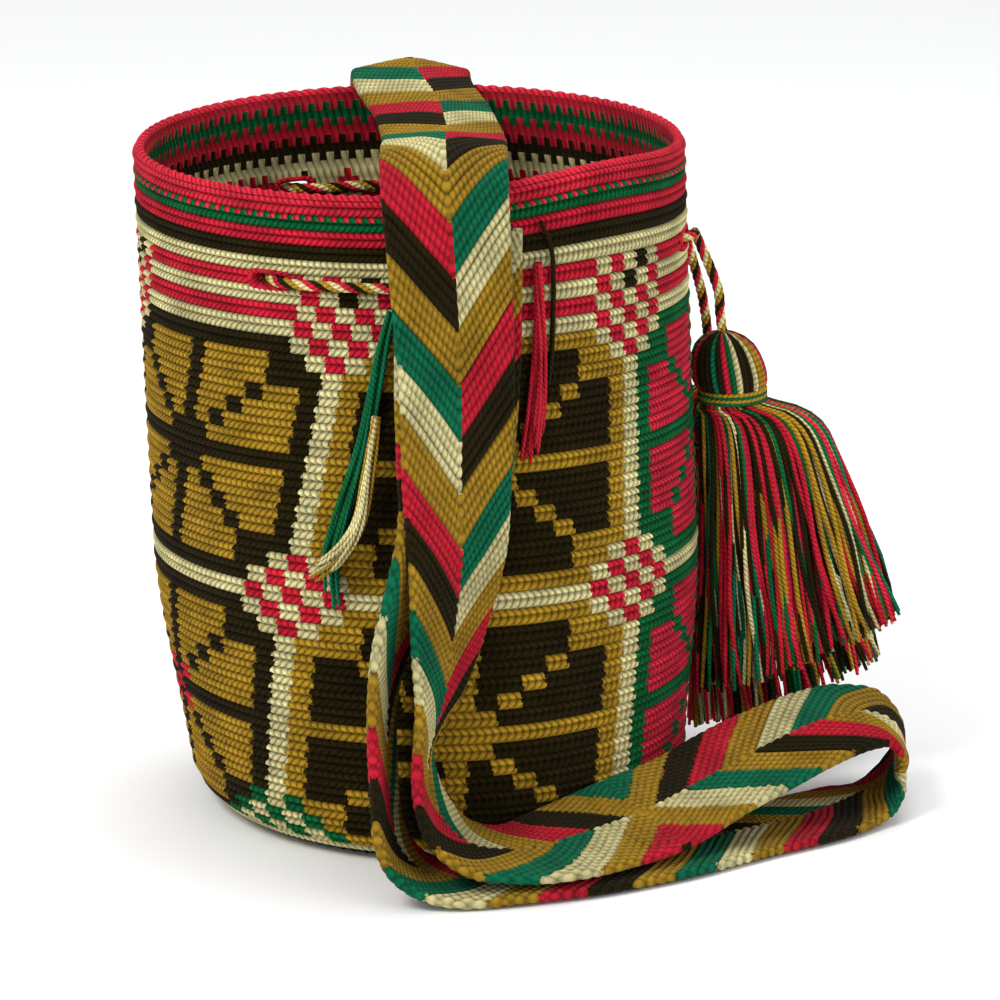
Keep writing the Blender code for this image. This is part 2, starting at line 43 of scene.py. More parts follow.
BASE_ROUNDS = 12
WALL_THICKNESS = 0.0040
RIDGE_HEIGHT = 0.0007
CORNER_RADIUS = 0.018
RIM_HEIGHT = 0.2760
RIM_TILT = 0.0045
RIM_LEAN = 0.0012
RIM_BUMP = 0.0065
RIM_BUMP_ANGLE = math.radians(43.0)
RIM_BUMP_SPREAD = math.radians(28.0)
RIM_WAVE_DEPTH = 0.058
HALF_WIDTH_BASE = 0.1025
HALF_WIDTH_WALL = 0.1130
WIDTH_GROWS_OVER = 0.110
HALF_DEPTH_BASE = 0.1165
HALF_DEPTH_RIM = 0.0952
DEPTH_SHRINKS_FROM = 0.030
DEPTH_SHRINKS_OVER = 0.245
LEAN_AT_RIM = -0.0135
LEAN_POWER = 0.7
MEAN_RADIUS = (HALF_WIDTH_WALL + HALF_DEPTH_RIM) / 2
TOUCH_GAP = 0.0003
FACET_SAG = 0.0009
CORD_SAG = 0.0004

# Stitches: five panels round the bag, each 16 blocks wide, three stitches to a block
PANELS = 5
BLOCKS = 16
STITCHES_PER_BLOCK = 3
STITCHES = PANELS * BLOCKS * STITCHES_PER_BLOCK
COLUMNS_PER_STITCH = 4
ROW_PLACES = (0.0, 0.12, 0.27, 0.44, 0.62, 0.84)
CHAIN_SHARE = 0.44
STITCH_SLANT = 0.75
STITCH_RELIEF = 0.0022
LEG_ROUNDING = 0.5
# Heights of the stitches between the yarn's strands and on top of them
CHAIN_HEIGHTS = (0.72, 1.0)
LEG_HEIGHTS = (0.42, 0.78)
# The height that lies on the wall's ridges, and how far the rounds under the bag sink in
EVEN_HEIGHT = 0.75
UNDERSIDE_SINK = 1.6 * RIDGE_HEIGHT
# Each round starts a little further on, and its stitches crowd and spread a little
ROUND_SHIFT = 0.37
RIPPLE = 0.12
RIPPLES_ROUND = 7.0
RIPPLE_SHIFT = 1.7
COLOUR_SLANT = 0.7
POINT_DEPTH = 0.30
DYE_CHANGE = 0.10
DYE_STEPS = (12.9898, 78.233)
# Painted shade: how dark the colour is painted in the hollows of the crochet and on its tops, on the outer
# wall and on the inside and base
OUTER_PAINTED_SHADES = (0.42, 1.0)
INNER_PAINTED_SHADES = (0.45, 0.95)
INNER_RELIEF = 0.0008
INNER_GAP = 0.25
RIM_ROWS = 7
WALL_PARTS = 3
INNER_COLUMNS_PER_STITCH = 2
INNER_ROWS_PER_ROUND = 2
FRONT_PANEL_TOP = 17.5
FRONT_PANEL_BOTTOM = 4.5
PANEL_SPREAD_TOP = -4.3
PANEL_SPREAD_BOTTOM = 11.0
PATTERN_TOP_Z = 0.205
PATTERN_BOTTOM_Z = 0.030
PATTERN_RUNS_ON = (-0.3, 1.1)

# What the pieces of the body stand for: a node and its slot
BODY_NODE = ("bag_body", "crochet_yarn")

# Eyelets and the drawstring that runs through them
EYELET_DROP = 5.5 * ROUND_PITCH
EYELET_ANGLES = (82.0, 14.0, -30.0, -108.0, -152.0, -242.0)
SLOT_WIDTH = 0.0150
SLOT_HEIGHT = 0.0062
EDGING_RADIUS = 0.0014
DRAWSTRING_DIAMETER = 0.0045
CORD_TURN = 0.015
CORD_STEP = 0.0014
PLY_SHARE = 0.27
CROSSING_TURN = math.degrees(0.0100 / MEAN_RADIUS)
RING_STEP = 0.0125
TAIL_TURN = 9.5
TAIL_LIES_OUT = 0.0010
TAIL_DIP = 0.0030

# Tassels
TASSEL_LENGTH = 0.158
HEAD_LENGTH = 0.0255
# How far down the binding and the start of the skirt lie, as shares of the head's length
BINDING_LEVEL = 1.10
SKIRT_LEVEL = 1.16
# How far the head's middle moves out on its way down, and the skirt's wall side in head radii from it
HEAD_SLANT = 0.16
WALL_SIDE = 0.62
HEAD_RADIUS = 0.0160
NECK_RADIUS = 0.0126
SKIRT_RADIUS = 0.0435
SKIRT_DEPTH_SHARE = 0.55
SKIRT_CUT_RISE = 0.0336
FRONT_TASSEL_TOP = (0.1165, 0.008, 0.1950)
BACK_TASSEL_TOP = (0.1140, 0.0590, 0.1610)
BACK_TASSEL_SCALE = 0.98
CORD_IN_TASSEL = 0.080
HEAD_RIDGES = 34
HEAD_GROOVE = 0.91
WINDING_TURNS = 2
WINDING_PITCH = 0.00256
WINDING_RADIUS = 0.0009
WINDING_LIES_OUT = 0.0012
STRANDS = 430
STRAND_WAVE = 0.0022
STRAND_POINTS = 16
STRAND_SHADES = (0.75, 1.1)
SHOULDER_SHARE = 0.04
SKIRT_FILL = 0.97
CUT_UNEVEN = 0.035
CUT_TIP = 0.7
TASSEL_YARN_DIAMETER = 0.0021
STRAND_DIAMETER = 0.0016

# Shoulder strap
STRAP_WIDTH = 0.052
STRAP_THICKNESS = 0.0052
STRAP_STEP = 0.0145
PUSH_SPREAD = 4
MOUTH_SHARE = 0.90
MOUTH_DIP = 0.012
STRAP_EDGE_SHARE = 0.90
STRAP_FINE_STEP = 0.00105
STRAP_FACE_POINTS = 30
STRAP_EDGE_POINTS = 5
STRAP_MIDDLE = 0.628
STRIPE_SLOPE = 1.28
STRIPE_WIDTH = 0.0187
STRETCH_START = 0.2431
STRETCHED_STRIPE_WIDTH = 0.0216
STRIPE_START = 0.0306
STRIPE_TURN = 0.060
END_TURN = 0.080
ROPES_PER_STRIPE = 4
ROPE_TWIST = 0.0017
ROPE_SLANT = 0.7
ROPE_RELIEF = 0.0014
# The strap's colour is darkened as a whole by STRAP_SHADE, and painted shade takes it down to GROOVE_SHADE
# of that in the grooves between its ropes
STRAP_SHADE = 0.72
GROOVE_SHADE = 0.30
CREASE_WIDTH = 0.004
EDGE_BAND = 0.001

# The strap's route from the back seam to the front: left edge, right edge and the middle's rise. The places
# are shares of the bag's half width, half depth and height, the rise is a share of the strap's width.
STRAP_ROUTE = np.array([
    (-0.354, 1.056, 0.855, 0.106, 1.056, 0.855, 0.0),
    (-0.354, 1.061, 0.949, 0.106, 1.061, 0.949, 0.0),
    (-0.354, 1.056, 1.007, 0.106, 1.056, 1.007, 0.038),
    (-0.350, 0.982, 1.036, 0.102, 0.982, 1.036, 0.096),
    (-0.341, 0.798, 1.042, 0.102, 0.798, 1.042, 0.135),
    (-0.314, 0.567, 1.038, 0.124, 0.567, 1.038, 0.154),
    (-0.257, 0.231, 1.033, 0.177, 0.189, 1.033, 0.154),
    (-0.228, -0.137, 1.033, 0.211, -0.179, 1.033, 0.154),
    (-0.208, -0.452, 1.034, 0.232, -0.483, 1.034, 0.115),
    (-0.209, -0.683, 1.043, 0.237, -0.704, 1.043, 0.096),
    (-0.212, -0.893, 1.049, 0.239, -0.882, 1.049, 0.096),
    (-0.211, -1.103, 1.038, 0.241, -1.061, 1.038, 0.077),
    (-0.200, -1.271, 0.978, 0.248, -1.134, 0.986, 0.058),
    (-0.175, -1.376, 0.888, 0.255, -1.176, 0.888, 0.038),
    (-0.139, -1.465, 0.743, 0.263, -1.197, 0.743, 0.0),
    (-0.127, -1.555, 0.598, 0.249, -1.239, 0.598, 0.0),
    (-0.106, -1.631, 0.498, 0.232, -1.261, 0.498, 0.0),
    (-0.096, -1.702, 0.380, 0.157, -1.245, 0.380, 0.0),
    (-0.080, -1.754, 0.290, 0.075, -1.239, 0.290, 0.0),
    (-0.081, -1.791, 0.203, -0.040, -1.239, 0.203, 0.0),
    (-0.064, -1.791, 0.138, -0.018, -1.239, 0.138, 0.0),
    (0.004, -1.786, 0.080, 0.075, -1.245, 0.080, 0.0),
    (0.133, -1.765, 0.051, 0.212, -1.227, 0.058, 0.0),
    (0.301, -1.702, 0.038, 0.403, -1.179, 0.071, 0.0),
    (0.487, -1.534, 0.040, 0.588, -1.016, 0.085, 0.0),
    (0.759, -1.239, 0.050, 0.865, -0.735, 0.111, 0.0),
    (1.058, -0.998, 0.082, 1.135, -0.492, 0.149, 0.0),
    (1.363, -0.777, 0.121, 1.386, -0.254, 0.168, 0.0),
    (1.535, -0.641, 0.139, 1.558, -0.097, 0.154, 0.0),
    (1.646, -0.578, 0.123, 1.668, -0.033, 0.123, 0.0),
    (1.681, -0.551, 0.083, 1.704, -0.006, 0.082, 0.0),
    (1.642, -0.567, 0.040, 1.653, -0.022, 0.036, 0.0),
    (1.553, -0.672, 0.016, 1.475, -0.134, 0.015, 0.0),
    (1.416, -0.893, 0.012, 1.245, -0.386, 0.012, 0.0),
    (1.186, -1.113, 0.012, 0.929, -0.661, 0.012, 0.0),
    (0.885, -1.408, 0.012, 0.649, -0.940, 0.016, 0.0),
    (0.584, -1.628, 0.012, 0.385, -1.136, 0.022, 0.0),
    (0.292, -1.765, 0.012, 0.173, -1.237, 0.024, 0.0),
    (0.071, -1.828, 0.012, 0.024, -1.285, 0.022, 0.0),
    (-0.106, -1.828, 0.033, -0.088, -1.282, 0.034, 0.0),
    (-0.204, -1.826, 0.083, -0.150, -1.282, 0.083, 0.0),
    (-0.223, -1.826, 0.156, -0.168, -1.282, 0.156, 0.0),
    (-0.237, -1.822, 0.272, -0.168, -1.282, 0.272, 0.0),
    (-0.232, -1.775, 0.373, -0.097, -1.250, 0.373, 0.0),
    (-0.199, -1.681, 0.453, 0.044, -1.208, 0.453, 0.0),
    (-0.150, -1.492, 0.536, 0.195, -1.134, 0.536, 0.0),
    (-0.150, -1.334, 0.612, 0.252, -1.071, 0.612, 0.0),
    (-0.164, -1.208, 0.714, 0.285, -1.061, 0.714, 0.0),
    (-0.164, -1.165, 0.815, 0.294, -1.057, 0.815, 0.0),
    (-0.164, -1.144, 0.880, 0.294, -1.036, 0.880, 0.0),
    (-0.164, -1.071, 0.949, 0.294, -0.977, 0.949, 0.0),
])

# Loose yarn
YARN_BUNDLE_DIAMETER = 0.0070
YARN_LOOP_DIAMETER = 0.0030
LOOSE_STEP = 0.003
YARN_FRAY = 0.85
YARN_CURL = 0.9
BUNDLE_SPREAD = (0.60, 0.85)
YARN_TWIST = 0.0022
SMOOTH_YARN = 0.5

# The look of the yarn
DYE_SCALE = 60.0
DYE_DARKEST = 0.55
DYE_LIGHTEST = 1.40
ROUNDING = 0.6
# Painted highlight: how much lighter the tops of the yarn's strands are painted, as a share of the painted
# groove shade
PAINTED_TOP_HIGHLIGHT = 0.35
UV_MARGIN = 0.02

# Yarn colours, in the order of their names
RED, CORAL, GREEN, STRAP_GREEN, DARK, CREAM, GOLD, PINK, BROWN = range(9)
PALETTE = np.array([
    (0.600, 0.015, 0.034),
    (0.640, 0.022, 0.042),
    (0.002, 0.123, 0.032),
    (0.003, 0.160, 0.072),
    (0.019, 0.0125, 0.001),
    (0.710, 0.635, 0.300),
    (0.410, 0.235, 0.0165),
    (0.640, 0.020, 0.048),
    (0.016, 0.010, 0.001),
])
TOP_ROUNDS = np.array([CORAL, GREEN, RED, DARK, CREAM, RED, CREAM, RED, CREAM])
PANEL_PETALS = np.array([DARK, PINK, DARK, GOLD, GOLD])
PANEL_LINES = np.array([GOLD, GREEN, GOLD, DARK, DARK])
LEFT_PANEL = 4
DRAWSTRING_YARNS = (CREAM, RED, DARK, GOLD)
# The dark yarn comes three times in eleven: partly the tassel's own dark yarn, partly painted shade for the
# shadowed strands deep in the skirt
TASSEL_YARNS = np.array([RED, DARK, GOLD, CREAM, DARK, STRAP_GREEN, RED, PINK, GOLD, DARK, GREEN])
STRIPE_CYCLE = np.array([RED, GOLD, CREAM, STRAP_GREEN, GOLD, DARK])

# Camera and light
CAMERA_PLACE = (0.024, -2.65, 0.82)
CAMERA_AIM = (0.024, 0.0, 0.124)
CAMERA_LENS = 236.0
SENSOR_WIDTH = 36.0
SKY_COLOUR = (0.98, 0.99, 1.0, 1.0)
SKY_STRENGTH = 0.80
# Name, place, aim, size and power of each light
LIGHTS = (("key", (-1.1, -1.3, 1.9), (0.0, 0.0, 0.12), 0.9, 30.0),
          ("fill", (1.6, -1.6, 1.1), (0.0, 0.0, 0.10), 1.6, 11.0),
          ("top", (0.2, 0.5, 1.9), (0.0, 0.0, 0.15), 1.2, 12.0))
FLOOR_SIZE = 12.0
FLOOR_COLOUR = (0.93, 0.93, 0.93, 1.0)
FLOOR_ROUGHNESS = 0.7


def add_object(name, data):
    added = bpy.data.objects.new(name, data)
    bpy.context.scene.collection.objects.link(added)
    return added


def aim_from(item, place, aim):
    item.location = place
    item.rotation_euler = (Vector(aim) - Vector(place)).to_track_quat("-Z", "Y").to_euler()


def make_camera():
    camera = add_object("camera", bpy.data.cameras.new("camera"))
    camera.data.lens = CAMERA_LENS
    camera.data.sensor_width = SENSOR_WIDTH
    aim_from(camera, CAMERA_PLACE, CAMERA_AIM)
    bpy.context.scene.camera = camera


def make_studio():
    world = bpy.data.worlds.new("studio")
    world.use_nodes = True
    background = world.node_tree.nodes["Background"]
    background.inputs["Color"].default_value = SKY_COLOUR
    background.inputs["Strength"].default_value = SKY_STRENGTH
    bpy.context.scene.world = world
    bpy.context.scene.view_settings.view_transform = "Standard"
    for name, place, aim, size, power in LIGHTS:
        light = add_object(name, bpy.data.lights.new(name, "AREA"))
        light.data.shape = "DISK"
        light.data.size = size
        light.data.energy = power
        aim_from(light, place, aim)
    data = bpy.data.meshes.new("floor")
    half = FLOOR_SIZE / 2
    corners = [(-half, -half, 0), (half, -half, 0), (half, half, 0), (-half, half, 0)]
    data.from_pydata(corners, [], [(0, 1, 2, 3)])
    floor = add_object("floor", data)
    material = bpy.data.materials.new("floor")
    material.use_nodes = True
    shader = material.node_tree.nodes["Principled BSDF"]
    shader.inputs["Base Color"].default_value = FLOOR_COLOUR
    shader.inputs["Roughness"].default_value = FLOOR_ROUGHNESS
    data.materials.append(material)


# Shape of the bag


def smooth_step(value):
    t = np.clip(value, 0.0, 1.0)
    return t * t * (3.0 - 2.0 * t)


def mix(start, end, share):
    return start + (end - start) * share


def unit(ways):
    return ways / np.linalg.norm(ways, axis=-1, keepdims=True)


def halfway(values):
    """The values between each row and the next."""
    return (values[:-1] + values[1:]) / 2


def lengths_along(places):
    """How far along a line each of its points lies."""
    steps = np.linalg.norm(np.diff(places, axis=0), axis=1)
    return np.concatenate([[0.0], np.cumsum(steps)])


def turns_round(count):
    return np.arange(count) * 2.0 * math.pi / count


def half_width(z):
    return mix(HALF_WIDTH_BASE, HALF_WIDTH_WALL, smooth_step(z / WIDTH_GROWS_OVER))


def half_depth(z):
    share = smooth_step((z - DEPTH_SHRINKS_FROM) / DEPTH_SHRINKS_OVER)
    return mix(HALF_DEPTH_BASE, HALF_DEPTH_RIM, share)


def lean(z):
    return LEAN_AT_RIM * (np.maximum(z, 0.0) / RIM_HEIGHT) ** LEAN_POWER


def turned(angle, start):
    """The turn from start to angle, between half a turn back and half a turn on."""
    return (angle - start + math.pi) % (2.0 * math.pi) - math.pi


def rim_wave(angle, depth):
    fade = 1.0 - smooth_step(depth / RIM_WAVE_DEPTH)
    bump = RIM_BUMP * np.exp(-(turned(angle, RIM_BUMP_ANGLE) / RIM_BUMP_SPREAD) ** 2)
    return (RIM_LEAN * np.sin(angle) - RIM_TILT * np.cos(angle) + bump) * fade


def wall_points(angle, z, inset, depth):
    """Points of the wall: angle is 0 at the front and grows towards +X, inset goes inwards."""
    x = lean(z) + (half_width(z) - inset) * np.sin(angle)
    y = -(half_depth(z) - inset) * np.cos(angle)
    return np.stack(np.broadcast_arrays(x, y, z + rim_wave(angle, depth)), axis=-1)


def surface(angle, distance, raised):
    """Points of the outer face at a distance down from the rim, raised along its normal."""
    straight = RIM_HEIGHT - CORNER_RADIUS
    turn = np.clip((distance - straight) / CORNER_RADIUS, 0.0, math.pi / 2)
    flat = np.maximum(distance - straight - CORNER_RADIUS * math.pi / 2, 0.0)
    inset = CORNER_RADIUS * (1.0 - np.cos(turn)) + flat
    z = np.where(distance <= straight, RIM_HEIGHT - distance, CORNER_RADIUS * (1.0 - np.sin(turn)))
    up = -raised * np.sin(turn)
    return wall_points(angle, z + up, inset - raised * np.cos(turn), distance)


def panel_angle(stitch, distance):
    """The angle round the bag of a stitch: the panels lean and spread a little towards the base."""
    z = RIM_HEIGHT - distance
    down = np.clip((PATTERN_TOP_Z - z) / (PATTERN_TOP_Z - PATTERN_BOTTOM_Z), *PATTERN_RUNS_ON)
    centre = np.radians(mix(FRONT_PANEL_TOP, FRONT_PANEL_BOTTOM, down))
    spread = np.radians(mix(PANEL_SPREAD_TOP, PANEL_SPREAD_BOTTOM, down))
    middle_stitch = (BLOCKS - 1) * STITCHES_PER_BLOCK / 2
    turn = (stitch - middle_stitch) * 2.0 * math.pi / STITCHES
    return centre + turn + spread * np.sin(turn)


# Colour of each stitch


def panel_yarn(panel, across, down, lower):
    """A flower in a frame: across and down count blocks from the middle of the panel."""
    far = np.maximum(abs(across), abs(down))
    near = np.minimum(abs(across), abs(down))
    petal = (near >= 1) & (near <= 4) & (near < far) & (far <= 6)
    yarn = np.where(petal, PANEL_PETALS[panel], PANEL_LINES[panel])
    star = lower & (panel == LEFT_PANEL) & (abs(across) == abs(down)) & (abs(across) <= 1)
    return np.where(star, CORAL, yarn)


def diamond_yarn(yarn, aside, row):
    """Chequered diamonds where the columns between the panels cross the bands."""
    off = abs(aside)
    middle = row - BLOCKS
    in_middle = (abs(middle) <= 1) & (off <= 2) | (abs(middle) == 2) & (off <= 1)
    in_top = (row >= -3) & (row <= 1) & (off <= 2) | (row == 2) & (off <= 1)
    chequer = np.where((aside + row) % 2 == 0, RED, CREAM)
    yarn = np.where(in_middle | in_top, chequer, yarn)
    accent = (row == -2) & (aside == 0) | (row == -3) & (aside == 1)
    yarn = np.where(accent, DARK, yarn)
    up = 2 * BLOCKS - row
    in_bottom = (up >= 1) & (up <= 3) & (off <= 4 - up)
    return np.where(in_bottom, np.where((aside + row) % 2 == 0, GREEN, CREAM), yarn)


def yarn_of(rounds, stitches):
    """The yarn of each stitch, counted in rounds down from the rim and in stitches round the bag."""
    stitches = stitches % STITCHES
    panel = stitches // (BLOCKS * STITCHES_PER_BLOCK)
    block = stitches // STITCHES_PER_BLOCK % BLOCKS
    row = rounds - (len(TOP_ROUNDS) - 1)
    across = block - (BLOCKS // 2 - 1)
    lower = row > BLOCKS
    down = np.where(lower, row - BLOCKS, row) - BLOCKS // 2
    yarn = panel_yarn(panel, across, down, lower)
    band = (block == BLOCKS - 1) | (row == BLOCKS) | (row == 2 * BLOCKS)
    yarn = np.where(band, CREAM, yarn)
    top = TOP_ROUNDS[np.clip(rounds, 0, len(TOP_ROUNDS) - 1)]
    yarn = np.where(rounds < len(TOP_ROUNDS), top, yarn)
    aside = (block + 1 + BLOCKS // 2) % BLOCKS - BLOCKS // 2
    yarn = diamond_yarn(yarn, aside, row)
    return np.where(rounds >= ROUND_COUNT, BROWN, yarn)


# Building meshes out of grids of points


def grid_faces(rows, columns, closed, first):
    """Corner indices and their places across and down for the quads of one grid."""
    across = columns if closed else columns - 1
    row, column = np.meshgrid(np.arange(rows - 1), np.arange(across), indexing="ij")
    after = (column + 1) % columns
    corners = np.stack([row * columns + column, row * columns + after,
                        (row + 1) * columns + after, (row + 1) * columns + column], axis=-1)
    u = np.stack([column, column + 1, column + 1, column], axis=-1) / across
    v = 1.0 - np.stack([row, row, row + 1, row + 1], axis=-1) / (rows - 1)
    return corners + first, u, v


def fill(items, name, values, kind=np.float32):
    items.foreach_set(name, values.astype(kind).reshape(-1))


def grids_object(name, grids, material, node, slot):
    """One object from grids: (points, face colours, shade of each point, closed, kept faces, twist) each.

    The twist grows by 1 from one strand of the yarn to the next. A closed grid has one column more of it.
    Nothing reaches below the floor. The object stands for one node of the solids.
    """
    parts = []
    first = 0
    for index, (points, colour, shade, closed, keep, twist) in enumerate(grids):
        rows, columns = points.shape[:2]
        faces, u, v = grid_faces(rows, columns, closed, first)
        if keep is None:
            keep = np.ones(faces.shape[:2], bool)
        colour = np.broadcast_to(colour, faces.shape[:2] + (3,))
        twist = np.broadcast_to(twist, (rows, columns + 1 if closed else columns))
        twist = np.stack([twist[:-1, :-1], twist[:-1, 1:], twist[1:, 1:], twist[1:, :-1]], axis=-1)
        u = (index + UV_MARGIN + (1.0 - 2.0 * UV_MARGIN) * u) / len(grids)
        kept = [item[keep] for item in (faces, colour, twist, u, v)]
        parts.append([points.reshape(-1, 3), shade.reshape(-1)] + kept)
        first += rows * columns
    points, shade, faces, colour, twist, u, v = (np.concatenate(items) for items in zip(*parts))
    points[:, 2] = np.maximum(points[:, 2], 0.0)
    # Each point's shade is multiplied into the colours of the faces round it: painted shade in the hollows
    # of the crochet, the strap and the tassel heads, a random tone on the tassel strands
    colour = colour[:, None, :] * shade[faces][..., None]
    data = bpy.data.meshes.new(name)
    data.vertices.add(len(points))
    fill(data.vertices, "co", points)
    data.loops.add(faces.size)
    fill(data.loops, "vertex_index", faces, np.int32)
    data.polygons.add(len(faces))
    fill(data.polygons, "loop_start", np.arange(0, faces.size, 4), np.int32)
    data.update(calc_edges=True)
    layer = data.uv_layers.new(name="OFBake")
    fill(layer.data, "uv", np.stack([u, v], axis=-1))
    attribute = data.color_attributes.new(name="yarn_colour", type="FLOAT_COLOR", domain="CORNER")
    fill(attribute.data, "color", np.concatenate([colour.reshape(-1, 3), np.ones((faces.size, 1))], axis=1))
    strands = data.attributes.new(name="yarn_twist", type="FLOAT", domain="CORNER")
    fill(strands.data, "value", twist)
    data.validate()
    data.shade_smooth()
    data.materials.append(material)
    piece = add_object(name, data)
    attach(piece, "root")
    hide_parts(node)
    return piece


# The look of the yarn


def connect(tree, node, inputs):
    """Each input gets a number or the output of another node."""
    for place, value in inputs.items():
        if isinstance(value, float):
            node.inputs[place].default_value = value
        else:
            tree.links.new(value, node.inputs[place])


def add_node(tree, kind, inputs, operation=None):
    node = tree.nodes.new(kind)
    if operation:
        node.operation = operation
    connect(tree, node, inputs)
    return node


def calculated(tree, operation, inputs):
    """The result of one calculation on the inputs 0 and 1."""
    return add_node(tree, "ShaderNodeMath", inputs, operation).outputs["Value"]


def mesh_value(tree, name):
    """A node that reads what the mesh says under a name."""
    node = add_node(tree, "ShaderNodeAttribute", {})
    node.attribute_name = name
    return node


def strand_height(tree):
    """Height of the yarn's strands, 0 in the grooves between them and 1 on top, from their twist."""
    twist = mesh_value(tree, "yarn_twist").outputs["Fac"]
    turn = calculated(tree, "MULTIPLY", {0: twist, 1: math.pi})
    wave = calculated(tree, "SINE", {0: turn})
    height = calculated(tree, "ABSOLUTE", {0: wave})
    return calculated(tree, "POWER", {0: height, 1: ROUNDING})


def yarn_material(name, grain, relief, sheen, painted_groove_shade, strand_relief):
    """Matt spun yarn: the stitch's colour, mottled by its fibres, with painted shade in the grooves between
    its strands, a painted highlight on their tops, and a fuzzy sheen.
    """
    material = bpy.data.materials.new(name)
    material.use_nodes = True
    tree = material.node_tree
    place = add_node(tree, "ShaderNodeTexCoord", {}).outputs["Object"]
    fibres = add_node(tree, "ShaderNodeTexNoise",
                      {"Scale": grain, "Detail": 4.0, "Roughness": 0.65, "Vector": place}).outputs["Fac"]
    dye = add_node(tree, "ShaderNodeTexNoise",
                   {"Scale": DYE_SCALE, "Detail": 3.0, "Vector": place}).outputs["Fac"]
    both = calculated(tree, "ADD", {0: fibres, 1: dye})
    tone = add_node(tree, "ShaderNodeMapRange",
                    {"From Min": 0.6, "From Max": 1.4, "To Min": DYE_DARKEST, "To Max": DYE_LIGHTEST,
                     "Value": both}).outputs["Result"]
    strand = strand_height(tree)
    # Painted shade in the grooves between the yarn's strands and a painted highlight on their tops
    painted_strand_light = add_node(tree, "ShaderNodeMapRange",
                      {"To Min": 1.0 - painted_groove_shade, "To Max": 1.0 + PAINTED_TOP_HIGHLIGHT * painted_groove_shade,
                       "Value": strand}).outputs["Result"]
    shade = calculated(tree, "MULTIPLY", {0: tone, 1: painted_strand_light})
    colour = mesh_value(tree, "yarn_colour").outputs["Color"]
    shaded = add_node(tree, "ShaderNodeVectorMath", {0: colour, "Scale": shade}, "SCALE")
    fuzz = add_node(tree, "ShaderNodeBump", {"Strength": 0.8, "Distance": relief, "Height": fibres})
    ribs = add_node(tree, "ShaderNodeBump", {"Strength": 1.0, "Distance": strand_relief, "Height": strand,
                                             "Normal": fuzz.outputs["Normal"]})
    connect(tree, tree.nodes["Principled BSDF"],
            {"Roughness": 0.9, "Specular IOR Level": 0.04, "Sheen Weight": sheen, "Sheen Roughness": 0.55,
             "Base Color": shaded.outputs["Vector"], "Normal": ribs.outputs["Normal"]})
    return material


# The crocheted body


def stitch_height(stitch, place):
    """Height of the crochet, 0 to 1: a twisted chain along the top of each round, slanted legs below it."""
    strand = abs(np.sin(np.pi * stitch_twist(stitch, place)))
    chain = np.clip(np.sin(np.pi * place / CHAIN_SHARE), 0.0, 1.0) ** ROUNDING * mix(*CHAIN_HEIGHTS, strand)
    leg_place = (place - CHAIN_SHARE) / (1.0 - CHAIN_SHARE)
    leg = np.clip(np.sin(np.pi * leg_place), 0.0, 1.0) ** LEG_ROUNDING * mix(*LEG_HEIGHTS, strand)
    return np.where(place < CHAIN_SHARE, chain, leg)


def stitch_twist(stitch, place):
    """The strands of a round: one to a stitch, slanting one way over the chain and back over the legs."""
    chain = place / CHAIN_SHARE
    legs = (1.0 - place) / (1.0 - CHAIN_SHARE)
    return stitch - STITCH_SLANT * np.minimum(chain, legs)


def in_slot(angle, distance):
    """True where a point of the wall lies in one of the eyelets."""
    inside = False
    down = abs(distance - EYELET_DROP) / (SLOT_HEIGHT / 2)
    for degrees in EYELET_ANGLES:
        aside = abs(turned(angle, math.radians(degrees))) * MEAN_RADIUS / (SLOT_WIDTH / 2)
        inside = inside | (aside ** 4 + down ** 4 < 1.0)
    return inside


def outer_grid(first_column, last_column):
    """Part of the outer wall: level is the way down from the rim in rounds."""
    columns = np.arange(first_column, last_column + 1)[None, :]
    stitch = columns / COLUMNS_PER_STITCH
    rows = [index + place for index in range(ROUND_COUNT) for place in ROW_PLACES]
    level = np.array(rows + [float(ROUND_COUNT)])[:, None]
    distance = level * ROUND_PITCH
    angle = panel_angle(stitch, distance)
    place = level % 1.0
    round_index = level - place
    ripple = RIPPLE * np.sin(RIPPLES_ROUND * angle + RIPPLE_SHIFT * round_index)
    own_stitch = stitch + ROUND_SHIFT * round_index + ripple
    height = stitch_height(own_stitch, place)
    turn = np.clip((distance - RIM_HEIGHT + CORNER_RADIUS) / CORNER_RADIUS, 0.0, 1.0)
    raised = RIDGE_HEIGHT + STITCH_RELIEF * (height - EVEN_HEIGHT) - UNDERSIDE_SINK * turn
    points = surface(angle, distance, raised)
    middle_level = halfway(level)
    middle_place = middle_level % 1.0
    middle_stitch = (columns[:, :-1] + 0.5) / COLUMNS_PER_STITCH
    which = np.floor(middle_stitch + COLOUR_SLANT * (0.5 - middle_place)).astype(int)
    rounds = np.broadcast_to(np.floor(middle_level).astype(int), which.shape)
    points_down = (rounds == 1) & (middle_place < POINT_DEPTH) & (which % 2 == 0)
    rounds = np.where(points_down, 0, rounds)
    change = 1.0 + DYE_CHANGE * np.sin(DYE_STEPS[0] * which + DYE_STEPS[1] * rounds)
    colour = PALETTE[yarn_of(rounds, which)] * change[..., None]
    # Painted shade: the colour is painted darker where the crochet is low, in the grooves between strands
    # and rounds
    shade = mix(*OUTER_PAINTED_SHADES, np.clip(height, 0.0, 1.0) ** 0.8)
    middle_angle = (angle[:-1, :-1] + angle[1:, 1:]) / 2
    keep = ~in_slot(middle_angle, middle_level * ROUND_PITCH)
    return points, colour, shade, False, keep, stitch_twist(own_stitch, place)


def make_outer_wall(material):
    columns = STITCHES * COLUMNS_PER_STITCH // WALL_PARTS
    for part in range(WALL_PARTS):
        grid = outer_grid(part * columns, (part + 1) * columns)
        grids_object(f"bag_wall_{part + 1}", [grid], material, *BODY_NODE)


